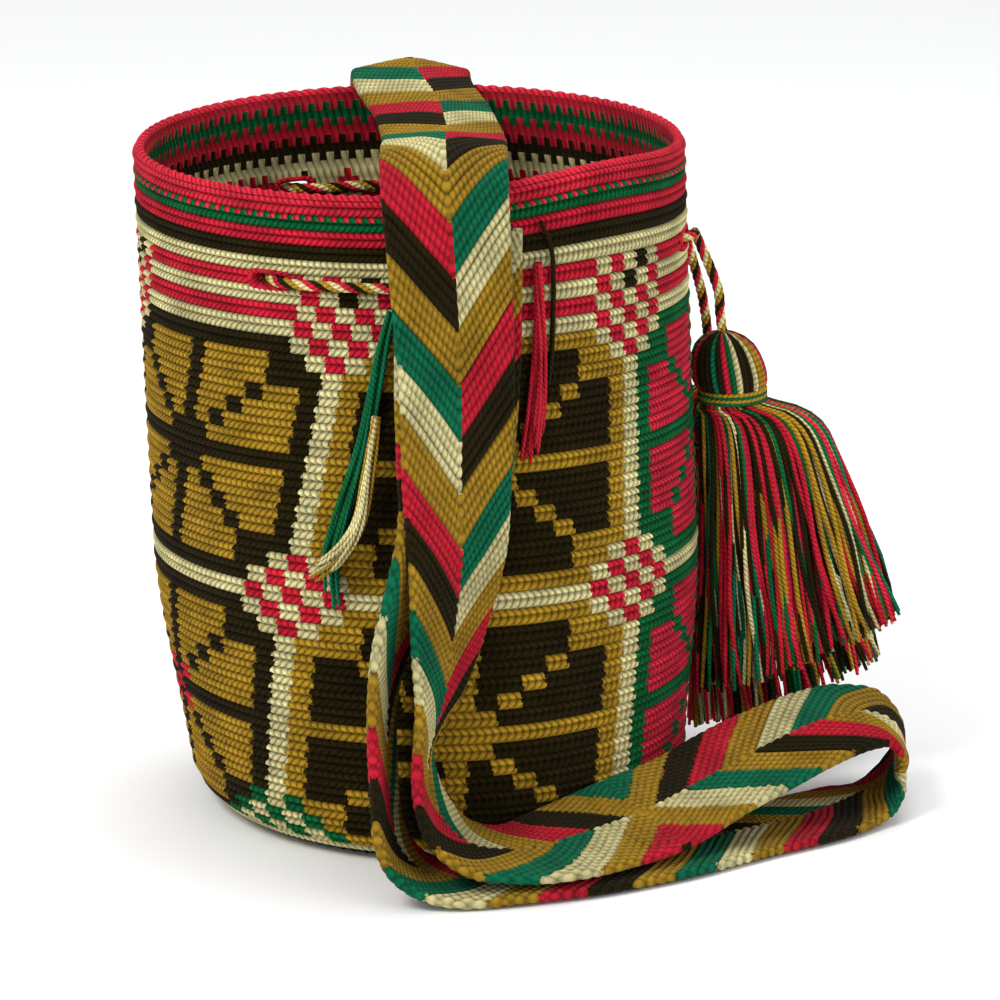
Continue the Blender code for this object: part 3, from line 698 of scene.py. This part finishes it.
def rim_grid():
    """The edging over the top of the wall: small lumps side by side."""
    columns = np.arange(STITCHES * COLUMNS_PER_STITCH)
    stitch = columns[None, :] / COLUMNS_PER_STITCH
    turn = np.linspace(0.0, math.pi, RIM_ROWS)[:, None]
    angle = panel_angle(stitch, 0.0)
    lump = 0.75 + 0.45 * abs(np.cos(np.pi * (stitch / 2 + 0.15 * turn)))
    half = WALL_THICKNESS / 2
    inset = half - half * np.cos(turn)
    z = RIM_HEIGHT + half * np.sin(turn) * lump
    points = wall_points(angle, z, inset, 0.0)
    # Painted shade: the edging is painted darker in the hollows between its lumps
    shade = np.broadcast_to(0.45 + 0.55 * np.clip(lump - 0.3, 0.0, 1.0), points.shape[:2])
    twist = np.arange(len(columns) + 1)[None, :] / COLUMNS_PER_STITCH + 0.5 * turn
    return points, PALETTE[CORAL], shade, True, None, twist


def inner_grid():
    columns = np.arange(STITCHES * INNER_COLUMNS_PER_STITCH)
    stitch = columns[None, :] / INNER_COLUMNS_PER_STITCH
    rounds = ROUND_COUNT + BASE_ROUNDS
    level = np.arange(rounds * INNER_ROWS_PER_ROUND + 1)[:, None] / INNER_ROWS_PER_ROUND
    distance = level * ROUND_PITCH
    angle = panel_angle(stitch, distance)
    bar = np.where(level % 1.0 < INNER_GAP, 0.0, 1.0) * (0.7 + 0.3 * np.cos(2.0 * np.pi * stitch))
    points = surface(angle, distance, -WALL_THICKNESS - INNER_RELIEF * bar)
    which = (columns // INNER_COLUMNS_PER_STITCH)[None, :]
    middle_level = halfway(level)
    jag = np.where(which % 2 == 0, 0.0, INNER_GAP)
    rounds_of = np.clip(np.floor(middle_level + jag).astype(int), 0, rounds)
    colour = PALETTE[yarn_of(rounds_of, np.broadcast_to(which, rounds_of.shape))]
    # Painted shade: the gaps between the rounds inside the bag are painted darker
    shade = np.broadcast_to(mix(*INNER_PAINTED_SHADES, bar), points.shape[:2])
    after = np.concatenate([angle[:, 1:], angle[:, :1] + 2.0 * math.pi], axis=1)
    middle_angle = (angle[:-1] + after[1:]) / 2
    keep = ~in_slot(middle_angle, middle_level * ROUND_PITCH)
    twist = np.arange(len(columns) + 1)[None, :] / INNER_COLUMNS_PER_STITCH + 0.5 * level
    return points, colour, shade, True, keep, twist


def base_grid():
    """The dark rounds under the bag, from the last round of the wall to the middle."""
    columns = np.arange(STITCHES)
    level = ROUND_COUNT + np.arange(BASE_ROUNDS * 3 + 1)[:, None] / 3.0
    stitch = columns[None, :].astype(float)
    distance = level * ROUND_PITCH
    angle = panel_angle(stitch, distance)
    place = level - np.floor(level + 1e-6)
    height = np.where(place < 0.2, 0.0, 1.0) * (0.75 + 0.25 * np.cos(np.pi * stitch))
    raised = RIDGE_HEIGHT + STITCH_RELIEF * (height - EVEN_HEIGHT) - UNDERSIDE_SINK
    points = surface(angle, distance, raised)
    # Painted shade: the gaps between the rounds under the bag are painted darker
    shade = np.broadcast_to(mix(*INNER_PAINTED_SHADES, height), points.shape[:2])
    twist = np.arange(STITCHES + 1)[None, :] + 0.5 * level
    return points, PALETTE[BROWN], shade, True, None, twist


def middle_grid(rings):
    """A closing disc inside the last ring of a grid."""
    last = rings[-1]
    centre = last.mean(axis=0)
    shares = np.array([1.0, 0.6, 0.25, 0.02])[:, None, None]
    points = centre + (last[None] - centre) * shares
    return points, PALETTE[BROWN], np.full(points.shape[:2], 0.8), True, None, SMOOTH_YARN


def cord_point(degrees, inset):
    return Vector(wall_points(math.radians(degrees), RIM_HEIGHT - EYELET_DROP, inset, EYELET_DROP))


def slot_grid(degrees):
    """The worked edge of one eyelet: a yarn round the hole on both sides of the wall."""
    sections = 40
    turn = turns_round(sections)
    side, rise = (np.sign(way) * abs(way) ** 0.5 for way in (np.cos(turn), np.sin(turn)))
    outside = [0.12, -0.02, -0.06, -0.02]
    inside = [1.02, 1.06, 1.02, 0.88]
    through = np.concatenate([outside, np.linspace(0.1, 0.9, 5), inside])
    widening = np.array([1.3, 1.1, 0.6, 0.1, -0.2, -0.35, -0.4, -0.35, -0.2, 0.1, 0.6, 1.1, 1.3])
    grow = widening[:, None] * EDGING_RADIUS
    angle = math.radians(degrees) + side[None, :] * (SLOT_WIDTH / 2 + grow) / MEAN_RADIUS
    down = EYELET_DROP - rise[None, :] * (SLOT_HEIGHT / 2 + grow)
    inset = -RIDGE_HEIGHT + through[:, None] * (WALL_THICKNESS + 2.0 * RIDGE_HEIGHT)
    points = wall_points(angle, RIM_HEIGHT - down, inset, down)
    shade = np.full(points.shape[:2], 0.75)
    twist = np.arange(sections + 1)[None, :] / 3.0 + through[:, None]
    return points, PALETTE[RED], shade, True, None, twist


def make_body(material):
    make_outer_wall(material)
    inner = inner_grid()
    base = base_grid()
    slots = [slot_grid(degrees) for degrees in EYELET_ANGLES]
    for name, grids in (("bag_inside", [inner, middle_grid(inner[0])]),
                        ("bag_base", [base, middle_grid(base[0])]),
                        ("bag_rim", [rim_grid()] + slots)):
        grids_object(name, grids, material, *BODY_NODE)


# Cords and loose yarn


def curve(before, start, end, after, t):
    """A place on the smooth curve from start to end, which also heeds the places before and after."""
    return 0.5 * ((2 * start) + (end - before) * t
                  + (2 * before - 5 * start + 4 * end - after) * t * t
                  + (3 * start - before - 3 * end + after) * t * t * t)


def spline_rows(before, rows, after, pieces):
    """Rows of vectors with more rows on a smooth curve between them. The rows before and after guide it."""
    rows = [before, *rows, after]
    fine = []
    for around in zip(rows, rows[1:], rows[2:], rows[3:]):
        fine += [curve(*around, part / pieces) for part in range(pieces)]
    return np.array(fine + [rows[-2]])


def even_rows(rows, step):
    """Rows at equal steps along the line of their first vector."""
    lengths = lengths_along(rows[:, 0])
    count = round(lengths[-1] / step)
    target = np.linspace(0.0, lengths[-1], count + 1)
    flat = rows.reshape(len(rows), -1)
    even = np.stack([np.interp(target, lengths, flat[:, item]) for item in range(flat.shape[1])], axis=-1)
    return even.reshape(count + 1, *rows.shape[1:])


def through_points(points, step):
    """Points at about equal steps on a smooth curve through the given points."""
    rows = np.array([tuple(point) for point in points])[:, None]
    fine = spline_rows(2 * rows[0] - rows[1], rows, 2 * rows[-1] - rows[-2], 24)
    return even_rows(fine, step)[:, 0]


def cord_inset(outside):
    radius = DRAWSTRING_DIAMETER / 2
    if outside:
        return -(RIDGE_HEIGHT + TOUCH_GAP + CORD_SAG + radius)
    return WALL_THICKNESS + TOUCH_GAP + FACET_SAG + radius


def ring_stretch(start, end, outside):
    way = 1.0 if end > start else -1.0
    first = start + way * CROSSING_TURN
    last = end - way * CROSSING_TURN
    count = max(1, round(math.radians(abs(last - first)) * MEAN_RADIUS / RING_STEP))
    return [cord_point(mix(first, last, index / count), cord_inset(outside)) for index in range(count + 1)]


def crossing(degrees, outwards):
    """The drawstring through one eyelet."""
    points = []
    for share in (-0.5, 0.0, 0.5):
        rise = smooth_step(0.5 + share / 2)
        inset = mix(cord_inset(not outwards), cord_inset(outwards), rise)
        points.append(cord_point(degrees - share * CROSSING_TURN, inset))
    return points


def tail_route(degrees, way, tassel_top):
    start = cord_point(degrees + way * CROSSING_TURN, cord_inset(True))
    end = Vector(tassel_top) + Vector((0, 0, TOUCH_GAP))
    turn = cord_point(degrees + way * TAIL_TURN, cord_inset(True) - TAIL_LIES_OUT)
    turn.z -= TAIL_DIP
    drop = Vector((mix(turn.x, end.x, 0.55) + 0.0015, mix(turn.y, end.y, 0.5), mix(turn.z, end.z, 0.45)))
    above = end + Vector((-0.0010, 0.0, 0.012))
    inside = end + Vector((HEAD_SLANT, 0.0, -1.0)) * CORD_IN_TASSEL
    return [start, turn, drop, above, end, inside]


def ring_route():
    """The drawstring in and out of the eyelets, between its two tails."""
    angles = EYELET_ANGLES
    route = []
    outside = True
    for index, degrees in enumerate(angles):
        route += crossing(degrees, not outside)
        outside = not outside
        if index + 1 < len(angles):
            route += ring_stretch(degrees, angles[index + 1], outside)
    start = cord_point(angles[0] + CROSSING_TURN, cord_inset(True))
    end = cord_point(angles[-1] - CROSSING_TURN, cord_inset(True))
    return [start] + route + [end]


def tube_frames(points):
    """(point, side, up) along a route, turning as little as it can."""
    places = np.array(points)
    along = unit(np.gradient(places, axis=0))
    side = unit(np.cross(along[0], (0.0, 0.0, 1.0) if abs(along[0][2]) < 0.9 else (1.0, 0.0, 0.0)))
    sides = []
    for way in along:
        side = unit(side - way * side.dot(way))
        sides.append(side)
    sides = np.array(sides)
    return places, sides, np.cross(along, sides)


def tube_grid(points, radius, colour, corners=6, shade=1.0):
    """A tube along a route: radius is a number or one number for each point."""
    places, sides, ups = tube_frames(points)
    turn = turns_round(corners)
    reach = np.broadcast_to(radius, len(places))[:, None, None]
    ring = sides[:, None] * np.cos(turn)[None, :, None] + ups[:, None] * np.sin(turn)[None, :, None]
    points = places[:, None] + ring * reach
    twist = lengths_along(places)[:, None] / YARN_TWIST + 2.0 * np.arange(corners + 1)[None, :] / corners
    return points, colour, np.full(points.shape[:2], shade), True, None, twist


def beside(sides, ups, turn, reach):
    """The way from a route's points to a yarn that lies at a turn round it and out by its reach."""
    return sides * (np.cos(turn) * reach)[:, None] + ups * (np.sin(turn) * reach)[:, None]


def twisted_grids(points):
    """The yarns of the drawstring twisted round each other along a route."""
    places, sides, ups = tube_frames(points)
    ply = DRAWSTRING_DIAMETER * PLY_SHARE
    grids = []
    for index, yarn in enumerate(DRAWSTRING_YARNS):
        turn = 2.0 * math.pi * (lengths_along(places) / CORD_TURN + index / len(DRAWSTRING_YARNS))
        middle = places + beside(sides, ups, turn, DRAWSTRING_DIAMETER / 2 - ply)
        grids.append(tube_grid(middle, ply, PALETTE[yarn]))
    return grids


def make_drawstring(material):
    """The drawstring. Gives back its two hanging ends, each as its object and its route."""
    pieces = []
    for name, route in (("ring", ring_route()),
                        ("end_front", tail_route(EYELET_ANGLES[0], 1.0, FRONT_TASSEL_TOP)),
                        ("end_back", tail_route(EYELET_ANGLES[-1], -1.0, BACK_TASSEL_TOP))):
        route = through_points(route, CORD_STEP)
        grids = twisted_grids(route)
        piece = grids_object("drawstring_" + name, grids, material, "drawstring", "cord_yarn")
        pieces.append((piece, route))
    return pieces[1:]


def resting_on_wall(x, z, radius):
    across = (x - lean(z)) / half_width(z)
    along = math.sqrt(1.0 - across ** 2)
    outwards = Vector((across / half_width(z), -along / half_depth(z), 0.0)).normalized()
    on_wall = Vector((x, -half_depth(z) * along, z))
    return on_wall + outwards * (RIDGE_HEIGHT + TOUCH_GAP + radius)


def bundle_grids(points, diameter, yarns, count, seed):
    """A bundle of loose yarns that spreads towards its cut end."""
    random = np.random.default_rng(seed)
    places, sides, ups = tube_frames(points)
    share = np.linspace(0.0, 1.0, len(places))
    grids = []
    strand = STRAND_DIAMETER / 2
    for index in range(count):
        turn = random.uniform(0.0, 2.0 * math.pi)
        reach = (diameter / 2 - strand) * math.sqrt(random.uniform(0.05, 1.0)) * (index > 0)
        wave = random.uniform(0.0, 6.0)
        angle = turn + YARN_CURL * np.sin(3.0 * share + wave)
        spread = reach * (mix(*BUNDLE_SPREAD, smooth_step(share / 0.2)) + YARN_FRAY * share ** 2)
        end = len(places) - int(random.integers(0, max(1, len(places) // 4))) * (index > 0)
        line = (places + beside(sides, ups, angle, spread))[:end]
        thick = np.full(len(line), strand)
        thick[-1] = strand * (0.3 if index else 1.0)
        grids.append(tube_grid(line, thick, PALETTE[yarns[index % len(yarns)]], corners=5))
    return grids


def make_yarn_ends(material):
    green = [(-0.168, 0.826), (-0.199, 0.774), (-0.265, 0.634),
             (-0.341, 0.525), (-0.376, 0.460), (-0.367, 0.391)]
    cream = [(-0.212, 0.681), (-0.235, 0.598), (-0.265, 0.525), (-0.336, 0.475), (-0.425, 0.442)]
    red = [(0.333, 0.891), (0.338, 0.815), (0.336, 0.743), (0.326, 0.678), (0.305, 0.601)]
    loop = [(0.347, 0.949), (0.386, 0.902), (0.391, 0.812), (0.388, 0.746), (0.375, 0.710)]
    bundle = YARN_BUNDLE_DIAMETER
    thread = YARN_LOOP_DIAMETER
    pieces = []
    for name, slot, route, diameter, lies_on, yarns, count in (
            ("yarn_ends_green", "green_yarn", green, bundle, 0.0, (STRAP_GREEN, GREEN), 16),
            ("yarn_ends_cream", "cream_yarn", cream, bundle, bundle + TOUCH_GAP, (CREAM, GOLD, CREAM), 14),
            ("yarn_ends_red", "red_yarn", red, bundle, 0.0, (RED, CORAL), 14),
            ("yarn_loop_dark", "dark_yarn", loop, thread, 0.0, (DARK,), 3)):
        radius = diameter / 2 + lies_on
        points = [resting_on_wall(x * HALF_WIDTH_WALL, z * RIM_HEIGHT, radius) for x, z in route]
        path = through_points(points, LOOSE_STEP)
        grids = bundle_grids(path, diameter, yarns, count, len(pieces) + 3)
        piece = grids_object("loose_" + name, grids, material, name, slot)
        pieces.append((piece, path[:-1], diameter))
    return pieces


# Tassels


def skirt_spread(share):
    return 0.32 + 0.27 * (1.0 - np.exp(-share * 20.0)) + 0.41 * share


def strand_grids(top, scale, random):
    """The cut yarns of a tassel's skirt."""
    neck = HEAD_LENGTH * scale * SKIRT_LEVEL
    share = np.linspace(0.0, 1.0, STRAND_POINTS) ** 2
    wide = SKIRT_RADIUS * scale * skirt_spread(share)
    deep = np.maximum(wide * SKIRT_DEPTH_SHARE, NECK_RADIUS * scale)
    wall_side = top[0] - HEAD_RADIUS * scale * WALL_SIDE
    middle = mix(top[0] + neck * HEAD_SLANT, wall_side + wide, smooth_step(share / SHOULDER_SHARE))
    thick = np.full(len(share), TASSEL_YARN_DIAMETER / 2)
    thick[-1] *= CUT_TIP
    grids = []
    for _ in range(STRANDS):
        angle = random.uniform(0.0, 2.0 * math.pi)
        reach = SKIRT_FILL * math.sqrt(random.uniform(0.30, 1.0))
        wave = STRAND_WAVE * np.sin(share * random.uniform(4.0, 9.0) + random.uniform(0.0, 6.0)) * share
        x = middle + wide * reach * math.cos(angle) + wave
        y = top[1] + deep * reach * math.sin(angle) + wave
        cut = 1.0 - random.uniform(0.0, CUT_UNEVEN)
        lift = SKIRT_CUT_RISE * scale * share * (0.5 + 0.5 * reach * math.cos(angle))
        z = top[2] - mix(neck, TASSEL_LENGTH * scale, share * cut) + lift
        shade = random.uniform(*STRAND_SHADES)
        colour = PALETTE[TASSEL_YARNS[random.integers(len(TASSEL_YARNS))]]
        grids.append(tube_grid(np.stack([x, y, z], axis=-1), thick, colour, corners=5, shade=shade))
    return grids


def head_grid(top, scale, random):
    """The top of a tassel: yarns folded over the cord and drawn in to the neck."""
    columns = HEAD_RIDGES * 4
    drops = np.array([0.0, 0.04, 0.12, 0.24, 0.38, 0.54, 0.70, 0.84, 0.95, 1.06, 1.2])
    radii = np.array([0.10, 0.36, 0.60, 0.79, 0.90, 0.97, 1.0, 0.98, 0.91, 0.80, 0.76])
    head = HEAD_LENGTH * scale
    turn = turns_round(columns)
    ridge_height = 0.5 + 0.5 * np.cos(turn * HEAD_RIDGES)
    reach = HEAD_RADIUS * scale * radii[:, None] * mix(HEAD_GROOVE, 1.0, ridge_height)
    x = top[0] + (drops * head * HEAD_SLANT)[:, None] + reach * np.cos(turn)[None, :]
    y = top[1] + reach * np.sin(turn)[None, :]
    z = np.broadcast_to((top[2] - drops * head)[:, None], x.shape)
    points = np.stack([x, y, z], axis=-1)
    chosen = random.integers(len(TASSEL_YARNS), size=HEAD_RIDGES)
    ridge = (np.arange(columns) + 2) // 4 % HEAD_RIDGES
    colour = PALETTE[TASSEL_YARNS[chosen[ridge]]]
    # Painted shade: the grooves between the head's ridges are painted darker
    shade = np.broadcast_to(0.5 + 0.5 * ridge_height, x.shape)
    twist = (drops * head / YARN_TWIST)[:, None] + HEAD_RIDGES * np.arange(columns + 1)[None, :] / columns
    return points, colour, shade, True, None, twist


def binding_grids(top, scale):
    """The yarn wound round the neck."""
    drop = HEAD_LENGTH * scale * BINDING_LEVEL
    middle = np.array([top[0] + drop * HEAD_SLANT, top[1], top[2] - drop])
    reach = NECK_RADIUS * scale + WINDING_LIES_OUT
    turn = np.linspace(0.0, 2.0 * math.pi * WINDING_TURNS, 80 * WINDING_TURNS)
    grids = []
    for yarn, offset in ((GREEN, 0.0), (GOLD, 0.5)):
        level = (turn / (2.0 * math.pi) + offset - WINDING_TURNS / 2) * WINDING_PITCH
        points = middle + np.stack([reach * np.cos(turn), reach * np.sin(turn), level], axis=-1)
        grids.append(tube_grid(points, WINDING_RADIUS, PALETTE[yarn]))
    return grids


def make_tassels(material):
    made = []
    for name, top, scale, seed in (("tassel_front", FRONT_TASSEL_TOP, 1.0, 11),
                                   ("tassel_back", BACK_TASSEL_TOP, BACK_TASSEL_SCALE, 12)):
        random = np.random.default_rng(seed)
        grids = [head_grid(top, scale, random)] + strand_grids(top, scale, random)
        tassel = grids_object(name + "_yarn", grids, material, name, "tassel_yarn")
        grids = binding_grids(top, scale)
        binding = grids_object(name + "_winding", grids, material, name + "_binding", "green_yarn")
        made.append([tassel, binding])
    return made


# Shoulder strap


def with_true_ways(rows):
    """Rows of middle, left way and right way, both ways made square to the line."""
    middle, left, right = (rows[:, item] for item in range(3))
    along = unit(np.gradient(middle, axis=0))
    left, right = (unit(way - along * (way * along).sum(axis=1, keepdims=True)) for way in (left, right))
    return np.stack([middle, left, right, along], axis=1)


def wall_overlap(points):
    """How much further out each point must lie to be clear of the wall."""
    x, y, z = points[..., 0], points[..., 1], points[..., 2]
    corner = np.maximum(CORNER_RADIUS - z, 0.0)
    inset = CORNER_RADIUS - np.sqrt(np.maximum(CORNER_RADIUS ** 2 - corner ** 2, 0.0))
    aside = x - lean(z)
    scale = np.hypot(aside / (half_width(z) - inset), y / (half_depth(z) - inset))
    beyond = np.hypot(aside, y) * (1.0 - 1.0 / np.maximum(scale, 1e-6))
    need = np.maximum(RIDGE_HEIGHT + TOUCH_GAP + CORD_SAG - beyond, 0.0)
    over_mouth = (scale < MOUTH_SHARE) & (z > RIM_HEIGHT - MOUTH_DIP)
    return np.where((z > RIM_HEIGHT) | over_mouth, 0.0, need)


def strap_edges(frames):
    """Corner points of the strap's section, used to keep it clear of the wall."""
    middle, left, right, along = (frames[:, item] for item in range(4))
    half = STRAP_WIDTH / 2
    thick = STRAP_THICKNESS / 2
    near = half * STRAP_EDGE_SHARE
    points = []
    for way, face in ((left, np.cross(along, left) * thick), (right, np.cross(right, along) * thick)):
        beside_edge = middle + way * near
        points += [middle + way * half, beside_edge - face, beside_edge + face]
    face = np.cross(along, left) * thick
    return np.stack(points + [middle - face, middle + face], axis=1)


def clear_of_wall(frames):
    needs = wall_overlap(strap_edges(frames)).max(axis=1)
    count = len(frames)
    need = np.zeros(count)
    for step in range(-PUSH_SPREAD, PUSH_SPREAD + 1):
        near = needs[np.clip(np.arange(count) + step, 0, count - 1)]
        need = np.maximum(need, near * (1.0 - abs(step) / (PUSH_SPREAD + 1)))
    x, y, z = frames[:, 0].T
    moved = frames.copy()
    moved[:, 0] += unit(np.stack([x - lean(z), y, np.zeros(count)], axis=-1)) * need[:, None]
    return moved


def edges_to_ways(rows):
    """Rows of middle, left edge, right edge and rise turned into rows of middle, left way and right way."""
    along = np.gradient(rows[:, 0], axis=0)
    across = rows[:, 1] - rows[:, 2]
    middle = rows[:, 0] + unit(np.cross(across, along)) * rows[:, 3, :1]
    return with_true_ways(np.stack([middle, rows[:, 1] - middle, rows[:, 2] - middle], axis=1))


def strap_frames():
    """Rows of the strap's middle, its way to the left edge, its way to the right edge and its way on."""
    size = np.array([HALF_WIDTH_WALL, HALF_DEPTH_RIM, RIM_HEIGHT])
    left, right = STRAP_ROUTE[:, :3] * size, STRAP_ROUTE[:, 3:6] * size
    rise = STRAP_ROUTE[:, 6:] * np.array([STRAP_WIDTH, 0.0, 0.0])
    rows = np.stack([(left + right) / 2, left, right, rise], axis=1)
    rows = even_rows(spline_rows(rows[0], rows, rows[-1], 12), STRAP_STEP)
    rows = clear_of_wall(edges_to_ways(rows))[:, :3]
    return with_true_ways(even_rows(spline_rows(rows[0], rows, rows[-1], 16), STRAP_FINE_STEP))


def strap_section():
    """(place across the strap, side of its face) of each point round the section."""
    half = STRAP_WIDTH / 2
    edge = STRAP_THICKNESS / 2
    flat = np.linspace(-half + edge, half - edge, STRAP_FACE_POINTS)
    turn = np.linspace(math.pi / 2, -math.pi / 2, STRAP_EDGE_POINTS + 2)[1:-1]
    across = np.concatenate([flat, half - edge + edge * np.cos(turn), flat[::-1],
                             -(half - edge) - edge * np.cos(turn[::-1])])
    ones = np.ones(STRAP_FACE_POINTS)
    side = np.concatenate([ones, np.sin(turn), -ones, np.sin(turn[::-1])])
    return across, side


def stripe_place(length, across):
    """How many stripes lie between a point and the strap's middle. They are longer on the hanging part."""
    place = abs(length - STRAP_MIDDLE) - STRIPE_SLOPE * abs(across) + STRIPE_START
    stretched = np.maximum(place - STRETCH_START, 0.0) * (length < STRAP_MIDDLE)
    return (place - stretched) / STRIPE_WIDTH + stretched / STRETCHED_STRIPE_WIDTH


def rope_height(length, across):
    """The strap's yarns follow its stripes as rounded ropes."""
    rope = stripe_place(length, across) * ROPES_PER_STRIPE
    return abs(np.sin(np.pi * rope)) ** ROUNDING


def rope_twist(length, across):
    rope = stripe_place(length, across) * ROPES_PER_STRIPE
    return abs(across) / ROPE_TWIST + ROPE_SLANT * rope


def stripe_colour(length, across):
    band = np.floor(stripe_place(length, across)).astype(int)
    band = band + np.where(across > 0.0, len(STRIPE_CYCLE) // 2, 0)
    return PALETTE[STRIPE_CYCLE[band % len(STRIPE_CYCLE)]]


def striped_length(length, across, total):
    """Lengths along the strap of a row of its mesh. Rows lie along the stripes, straight at the ends."""
    from_middle = length - STRAP_MIDDLE
    slant = STRIPE_SLOPE * abs(across) * np.clip(from_middle / STRIPE_TURN, -1.0, 1.0)
    end = np.minimum(length, total - length) / END_TURN
    return length + slant * np.clip(end, 0.0, 1.0)


def frames_at(frames, item, length):
    """The strap's frame at any length along it."""
    place = np.clip(length / STRAP_FINE_STEP, 0.0, len(frames) - 1.001)
    before = place.astype(int)
    share = (place - before)[..., None]
    return frames[before, item] * (1.0 - share) + frames[before + 1, item] * share


def make_strap(material):
    frames = strap_frames()
    across, side = strap_section()
    across = across[None, :]
    side = side[None, :]
    total = (len(frames) - 1) * STRAP_FINE_STEP
    length = striped_length(np.linspace(0.0, total, len(frames))[:, None], across, total)
    middle, left, right, along = (frames_at(frames, item, length) for item in range(4))
    root = np.sqrt(across ** 2 + CREASE_WIDTH ** 2)
    to_right = ((across + root) / 2)[..., None]
    to_left = ((root - across) / 2)[..., None]
    share = smooth_step(across / (3.0 * CREASE_WIDTH) + 0.5)[..., None]
    face = unit(np.cross(left, along) * (1.0 - share) + np.cross(along, right) * share)
    height = rope_height(length, across)
    thick = STRAP_THICKNESS / 2 - ROPE_RELIEF * (1.0 - height)
    points = middle + left * to_left + right * to_right + face * (side * thick)[..., None]
    after = np.roll(across, -1, axis=1)
    shown_across = (across + after) / 2
    half = STRAP_WIDTH / 2
    at_edge = abs(shown_across) > half - EDGE_BAND
    shown_across = np.where(at_edge, np.sign(shown_across) * (half - EDGE_BAND / 5), shown_across)
    shown_length = halfway(length)
    shown_length = (shown_length + np.roll(shown_length, -1, axis=1)) / 2
    colour = stripe_colour(shown_length, shown_across)
    # Painted shade: the grooves between the ropes are painted darker; the whole strap's colour is also
    # darkened by STRAP_SHADE
    shade = STRAP_SHADE * mix(GROOVE_SHADE, 1.0, height)
    around = [np.concatenate([item, item[:, :1]], axis=1) for item in (length, across)]
    twist = rope_twist(*around)
    grid = (points, colour, shade, True, None, twist)
    strap = grids_object("strap_band", [grid], material, "shoulder_strap", "strap_yarn")


def main():
    make_camera()
    make_studio()
    yarn = yarn_material("crochet_yarn", 1300.0, 0.0006, 0.02, 0.45, 0.0008)
    soft_yarn = yarn_material("soft_yarn", 1700.0, 0.0004, 0.03, 0.35, 0.0006)
    tails = make_drawstring(soft_yarn)
    loose = make_yarn_ends(soft_yarn)
    tassels = make_tassels(soft_yarn)
    make_body(yarn)
    make_strap(soft_yarn)


main()
